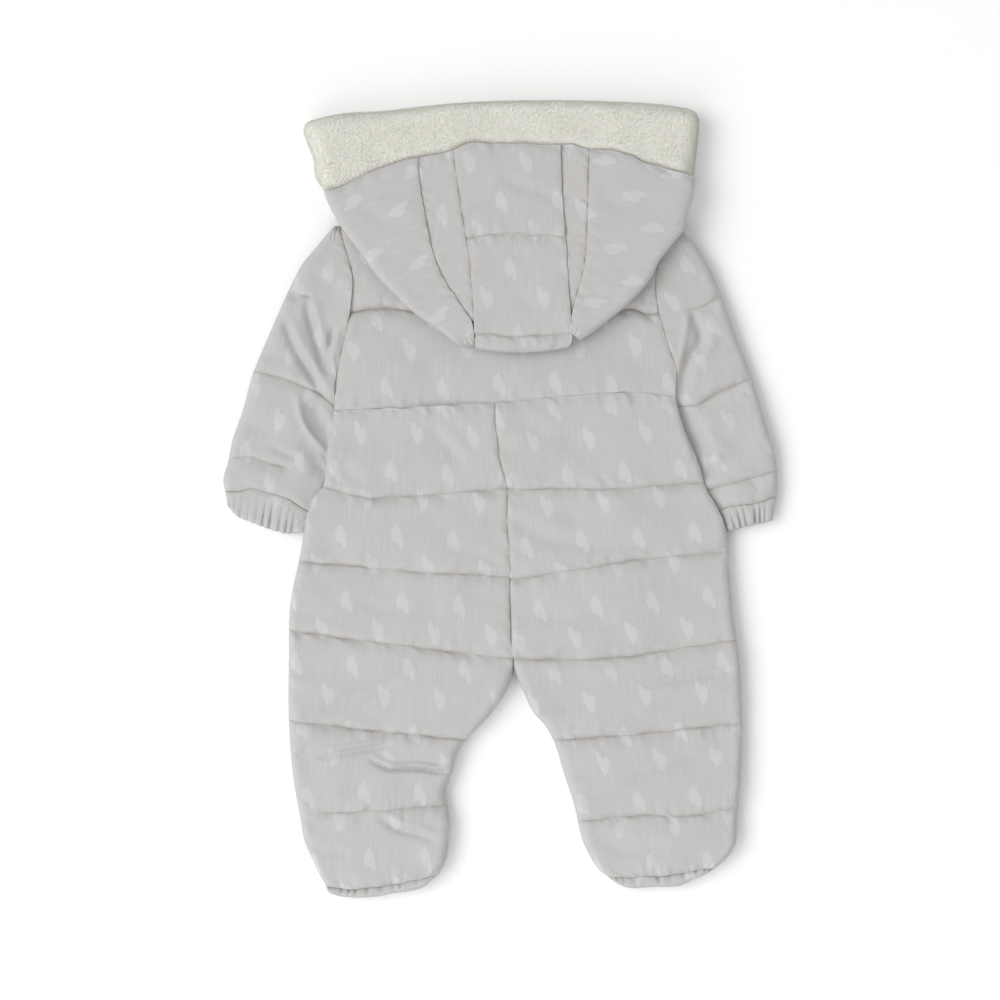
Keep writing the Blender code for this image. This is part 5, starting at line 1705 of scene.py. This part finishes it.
@dataclass
class Hood:
    """The hood's five outer panels and the layers under them."""

    inset: float = 5.0  # the lining stands back this far from the hood's edge
    under_brim: float = -0.05  # from the brim seam down to the hood panels
    centre_creases: tuple[Crease, ...] = (
        Crease((Point(-1, 256), Point(22, 247), Point(47, 242)), 5.0, 1.3),
        Crease((Point(-29, 224), Point(-12, 232), Point(3, 236)), 4.5, 1.2),
        Crease((Point(-20, 190), Point(4, 196), Point(22, 192)), 6.0, 0.8),
        Crease((Point(10, 160), Point(30, 152), Point(46, 156)), 6.0, 0.8),
    )
    left_creases: tuple[Crease, ...] = (
        Crease((Point(-112, 232), Point(-92, 222), Point(-72, 224)), 6.0, 1.0),
        Crease((Point(-96, 196), Point(-76, 190), Point(-58, 196)), 6.0, 0.8),
        Crease((Point(-74, 166), Point(-60, 162), Point(-46, 166)), 5.0, 0.8),
    )
    right_creases: tuple[Crease, ...] = (
        Crease((Point(80, 242), Point(102, 232), Point(126, 236)), 6.0, 1.0),
        Crease((Point(78, 206), Point(98, 200), Point(120, 206)), 6.0, 0.8),
        Crease((Point(70, 166), Point(84, 162), Point(98, 168)), 5.0, 0.8),
    )

    def _top(self, span: Span) -> Row:
        """The row along the brim seam between two long edges."""
        left = at(BRIM_SEAM, span.left[0].x, self.under_brim)
        right = at(BRIM_SEAM, span.right[0].x, self.under_brim)
        return joint_row(left, along(BRIM_SEAM, left.x + 2, right.x - 2, self.under_brim),
                         right, 0.45)

    def outer_panels(self) -> dict[str, PaddedPanel]:
        """The five panels of the hood's outside.

        Returns:
            Panels that stand for the CAD nodes of the same names.
        """
        left, right = Span(HOOD_LEFT, SIDE_LEFT_IN), Span(SIDE_RIGHT_IN, HOOD_RIGHT)
        left_strip = Span(SIDE_LEFT_IN, STRIP_LEFT_IN)
        right_strip = Span(STRIP_RIGHT_IN, SIDE_RIGHT_IN)
        middle = Span(STRIP_LEFT_IN, STRIP_RIGHT_IN)
        side_left = [
            self._top(left),
            left.plain(205, 216),
            left.plain(160, 166),
            seam_row(on(HOOD_LEFT, 122, -1), [], on(SIDE_LEFT_IN, 122.5)),
        ]
        strip_left = [
            self._top(left_strip),
            left_strip.seam(141, 140),
        ]
        centre = [
            self._top(middle),
            middle.quilt(208, 209, [Point(-8, 211)]),
            middle.quilt(132, 132, [Point(13, 130)], 0.5),
            middle.seam(120, 121, [Point(-8, 118.2), Point(35, 118.2)]),
        ]
        strip_right = [
            self._top(right_strip),
            right_strip.seam(146, 147),
        ]
        side_right = [
            self._top(right),
            right.plain(220, 212),
            right.plain(172, 165),
            seam_row(on(SIDE_RIGHT_IN, 131), [], on(HOOD_RIGHT, 127, 1)),
        ]
        panel = dict(base=HOOD_BASE, puff=HOOD_PUFF, left_round=SEAM_ROUND,
                     right_round=SEAM_ROUND, left_joint=100, right_joint=100,
                     joint_drop=0.09, pinch_width=10.0, swell=0.7)
        strip = {**panel, "puff": STRIP_PUFF, "pucker_pitch": 4.0}
        outer_left = {**panel, "left_round": SIDE_ROUND, "left_joint": math.inf,
                      "pucker_pitch": 4.0}
        outer_right = {**panel, "right_round": SIDE_ROUND, "right_joint": math.inf}
        return {
            "hood_side_left": PaddedPanel(
                side_left, HOOD_LEFT, SIDE_LEFT_IN, creases=self.left_creases,
                grain=-69.0, heart=Point(-83.6, 229.6), seed=51,
                **outer_left),
            "hood_strip_left": PaddedPanel(
                strip_left, SIDE_LEFT_IN, STRIP_LEFT_IN, grain=-10.0,
                heart=Point(-70, 205), seed=52, **strip),
            "hood_centre": PaddedPanel(
                centre, STRIP_LEFT_IN, STRIP_RIGHT_IN, creases=self.centre_creases,
                heart=Point(-18.8, 212.8), seed=53, **panel),
            "hood_strip_right": PaddedPanel(
                strip_right, STRIP_RIGHT_IN, SIDE_RIGHT_IN, grain=4.0,
                heart=Point(63.6, 228.8), seed=54, **strip),
            "hood_side_right": PaddedPanel(
                side_right, SIDE_RIGHT_IN, HOOD_RIGHT, creases=self.right_creases,
                grain=70.0, heart=Point(122, 215.2), seed=55, **outer_right),
        }

    def under_panels(self) -> dict[str, PaddedPanel]:
        """The layers under the outside: the lining's fold and the neck.

        Returns:
            Panels that stand for the CAD nodes of the same names.
        """
        fold_span = Span(HOOD_LEFT, HOOD_RIGHT, self.inset)
        neck_span = Span(HOOD_LEFT, HOOD_RIGHT, 1.0)
        fold = [
            fold_span.seam(218, 216, along(SHOULDER_LINE, -110, 120, -1.5)),
            fold_span.plain(186, 186),
            fold_span.plain(150, 150),
            seam_row(Point(-20, 124), [Point(15, 122)], Point(48, 124)),
        ]
        neck = [
            neck_span.seam(243, 252, along(BRIM_SEAM, -128, 150, -3.0)),
            neck_span.seam(225.5, 223.5, along(SHOULDER_LINE, -110, 120, 1.5)),
        ]
        layer = dict(left=[], right=[], left_round=8.0, right_round=8.0, pinch_width=8.0,
                     step=3.0, pucker=0.2, swell=0.3)
        neck_base = NECK_MIDDLE + LAYER_GAP / 2
        neck_puff = HOOD_BASE - LAYER_GAP - NECK_MIDDLE - LAYER_GAP / 2 - SEAM_WALL - 0.6
        return {
            "hood_fold": PaddedPanel(fold, base=FOLD_BASE, puff=FOLD_PUFF, seed=56,
                                     **layer),
            "hood_neck_back": PaddedPanel(neck, base=neck_base, puff=neck_puff, seed=57,
                                          **layer),
            "hood_neck_front": PaddedPanel(neck, seed=58, **layer,
                                           **under_wall(NECK_MIDDLE - LAYER_GAP / 2)),
        }

    def build(self, room: Workroom) -> None:
        """Make the hood and its stitches.

        Args:
            room: Finishes and trees.
        """
        surfaces = []
        for name, panel in self.outer_panels().items():
            surfaces += room.sew(name, {name: panel})
        for name, panel in self.under_panels().items():
            room.sew(name, {name: panel})
        room.stitch("hood_quilting_stitches", surfaces)


@dataclass
class Brim:
    """The hood's fleece brim: a thick roll that rests on the table, under its pile."""

    fibre_length: float = 1.3
    fibre_width: float = 0.36
    top_density: float = 2.4e6  # fibres to a square metre
    side_density: float = 1.5e6
    tuft: float = 9.0  # mm over which the fibres sweep the same way
    lowest_fibre: float = 4.0  # mm over the table

    def panels(self) -> dict[str, PaddedPanel]:
        """The upper and lower wall of the roll.

        Returns:
            Panels that stand for the CAD nodes of the same names.
        """
        edge = PILE_INSET
        rows = [
            seam_row(Point(-158 + edge, 299), [Point(p.x, p.y - edge)
                     for p in BRIM_TOP[1:-1]], Point(156.5 - edge, 308 - edge)),
            joint_row(Point(-142 + edge, 246.2), along(BRIM_SEAM, -135, 150),
                      Point(153.5 - edge, 256.4), 0.14),
        ]
        roll = dict(left=moved(BRIM_LEFT, edge), right=moved(BRIM_RIGHT, -edge),
                    left_round=BRIM_ROUND, right_round=BRIM_ROUND, pinch_width=BRIM_ROUND)
        under_rows = [replace(row, pinch=1.0) for row in rows]
        return {
            "brim_back": PaddedPanel(
                rows, base=BRIM_MIDDLE + LAYER_GAP / 2, puff=BRIM_PUFF, step=2.0,
                pucker=0.5, pucker_pitch=11.0, swell=1.3, seed=61, **roll),
            "brim_front": PaddedPanel(
                under_rows, step=3.0, pucker=0.3, swell=0.3, seed=62, **roll,
                **under_wall(BRIM_MIDDLE - LAYER_GAP / 2)),
        }

    def build(self, room: Workroom) -> None:
        """Make the roll and grow its pile.

        Args:
            room: Finishes and trees.
        """
        grown = {"brim_back": (self.top_density, -1.0),
                 "brim_front": (self.side_density, self.lowest_fibre)}
        for name, panel in self.panels().items():
            surface = panel.surface()
            piece = add_piece(name, shell_mesh(name, [(surface, panel)]), room.fleece,
                              "fleece", name)
            density, lowest = grown[name]
            skin = open_mesh(name + "_pile", surface, lowest)
            if panel.facing is Facing.DOWN:
                skin.flip_normals()
            pile = room.fibres.grow(
                name + "_pile", skin, room.pile, "fleece", Density=density,
                Length=self.fibre_length * MM, Width=self.fibre_width * MM,
                Tuft=1 / (self.tuft * MM), Seed=7)
            surface.cut()
            surface.area()
            log.info("%s: %d faces and %d of pile", name, len(piece.data.polygons),
                     len(pile.data.polygons))


@dataclass
class FrontZip:
    """The front zip between the two fronts, under the garment."""

    chain_half: float = 2.0
    tooth_pitch: float = 1.5
    tooth_height: float = 2.0
    tooth_level: float = 5.6
    tape_ends: tuple[float, float] = (9.0, 0.4)  # short of the slit's foot and head by these
    chain_ends: tuple[float, float] = (13.0, 4.0)

    def build(self, room: Workroom) -> None:
        """Make the tape and its teeth, and finish the slider and its pull.

        Args:
            room: Finishes and trees.
        """
        low = Vector((ZIP_X - TAPE_HALF, ZIP_BOTTOM + self.tape_ends[0], TAPE_BASE)) * MM
        high = Vector((ZIP_X + TAPE_HALF, ZIP_TOP - self.tape_ends[1], TAPE_TOP)) * MM
        # The tape's underside: a raised selvedge, the cloth, and a channel for the chain.
        across = [-1.0, -0.9, -0.5, -0.42, -0.06, 0.06, 0.42, 0.5, 0.9, 1.0]
        relief = [0.5, 0.0, 0.0, -0.35, -0.35, -0.35, -0.35, 0.0, 0.0, 0.5]
        down = np.linspace(low.y, high.y, 120)
        middle, half = (low.x + high.x) / 2, (high.x - low.x) / 2
        profile = [(middle + a * half, low.z + r * MM) for a, r in zip(across, relief)]
        profile += [(x, high.z) for x, _ in reversed(profile)]
        verts = [(x, y, z) for y in down for x, z in profile]
        count = len(profile)
        faces = [
            (k * count + i, k * count + (i + 1) % count,
             (k + 1) * count + (i + 1) % count, (k + 1) * count + i)
            for k in range(len(down) - 1) for i in range(count)
        ]
        faces.append(tuple(range(count))[::-1])
        faces.append(tuple(range((len(down) - 1) * count, len(down) * count)))
        mesh = bpy.data.meshes.new("zip_tape_woven")
        mesh.from_pydata(verts, [], faces)
        tape = add_piece("zip_tape_woven", mesh, room.tape, "zip_tape", "zip_tape")
        start = np.array([ZIP_X, ZIP_BOTTOM + self.chain_ends[0], self.tooth_level])
        end = np.array([ZIP_X, ZIP_TOP - self.chain_ends[1], self.tooth_level])
        aside = self.chain_half * 0.45
        lines = [
            np.array([start, end]) + (side * aside, shift, 0.0)
            for side, shift in ((-1, 0.0), (1, self.tooth_pitch / 2))
        ]
        teeth = room.teeth.grow(
            "zip_teeth", line_mesh("zip_teeth", lines, 0.0), room.tape, "zip_tape",
            Pitch=self.tooth_pitch * MM, Width=self.chain_half * 1.1 * MM,
            Height=self.tooth_height * MM)
        for name in ("zip_slider", "zip_pull"):
            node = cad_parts[name]
            if not node.material_slots:
                node.data.materials.append(None)
            for material_slot in node.material_slots:
                material_slot.material = room.metal
        log.info("zip: %d teeth faces", len(teeth.data.polygons))


@dataclass
class Studio:
    """A white board, a soft key light from the left, even fill, and the camera above."""

    floor_half: float = 4.0
    fill: float = 0.62
    key: float = 1.29
    key_from: tuple[float, float, float] = (-1.0, 0.12, 1.15)
    key_softness: float = 42.0  # degrees
    low_power: float = 14.0  # watts, a softbox beyond the feet
    low_from: tuple[float, float, float] = (-0.9, -1.4, 1.5)
    low_size: float = 2.0
    view_centre: tuple[float, float, float] = (-0.0012, 0.0, 0.008)
    view_width: float = 0.8
    distance: float = 3.0

    def build(self) -> None:
        """Set up the floor, the lights and the camera."""
        scene = bpy.context.scene
        scene.view_settings.view_transform = "Standard"
        half = self.floor_half
        mesh = bpy.data.meshes.new("floor")
        mesh.from_pydata([(-half, -half, 0), (half, -half, 0), (half, half, 0),
                          (-half, half, 0)], [], [(0, 1, 2, 3)])
        mesh.materials.append(PaintedBoard().make())
        add_object("floor", mesh)
        world = bpy.data.worlds.new("even_fill")
        world.use_nodes = True
        background = world.node_tree.nodes["Background"]
        background.inputs["Color"].default_value = (1.0, 1.0, 1.0, 1.0)
        background.inputs["Strength"].default_value = self.fill
        scene.world = world
        key = bpy.data.lights.new("key", "SUN")
        key.energy = self.key
        key.angle = math.radians(self.key_softness)
        softbox = bpy.data.lights.new("softbox", "AREA")
        softbox.shape = "DISK"
        softbox.size = self.low_size
        softbox.energy = self.low_power
        for light, place in ((key, self.key_from), (softbox, self.low_from)):
            lamp = add_object(light.name, light)
            lamp.rotation_euler = Vector(place).to_track_quat("Z", "Y").to_euler()
        lamp.location = self.low_from
        camera = bpy.data.cameras.new("camera")
        camera.sensor_width = 36.0
        camera.lens = camera.sensor_width * self.distance / self.view_width
        scene.camera = add_object("camera", camera)
        scene.camera.location = Vector(self.view_centre) + Vector((0, 0, self.distance))


def main() -> None:
    """Build every sub-assembly in order."""
    logging.basicConfig(level=logging.INFO, format="%(message)s")
    Studio().build()
    room = Workroom()
    for part in (Body(), Feet(), Sleeves(), Hood(), Brim(), FrontZip()):
        part.build(room)


if __name__ == "__main__":
    main()
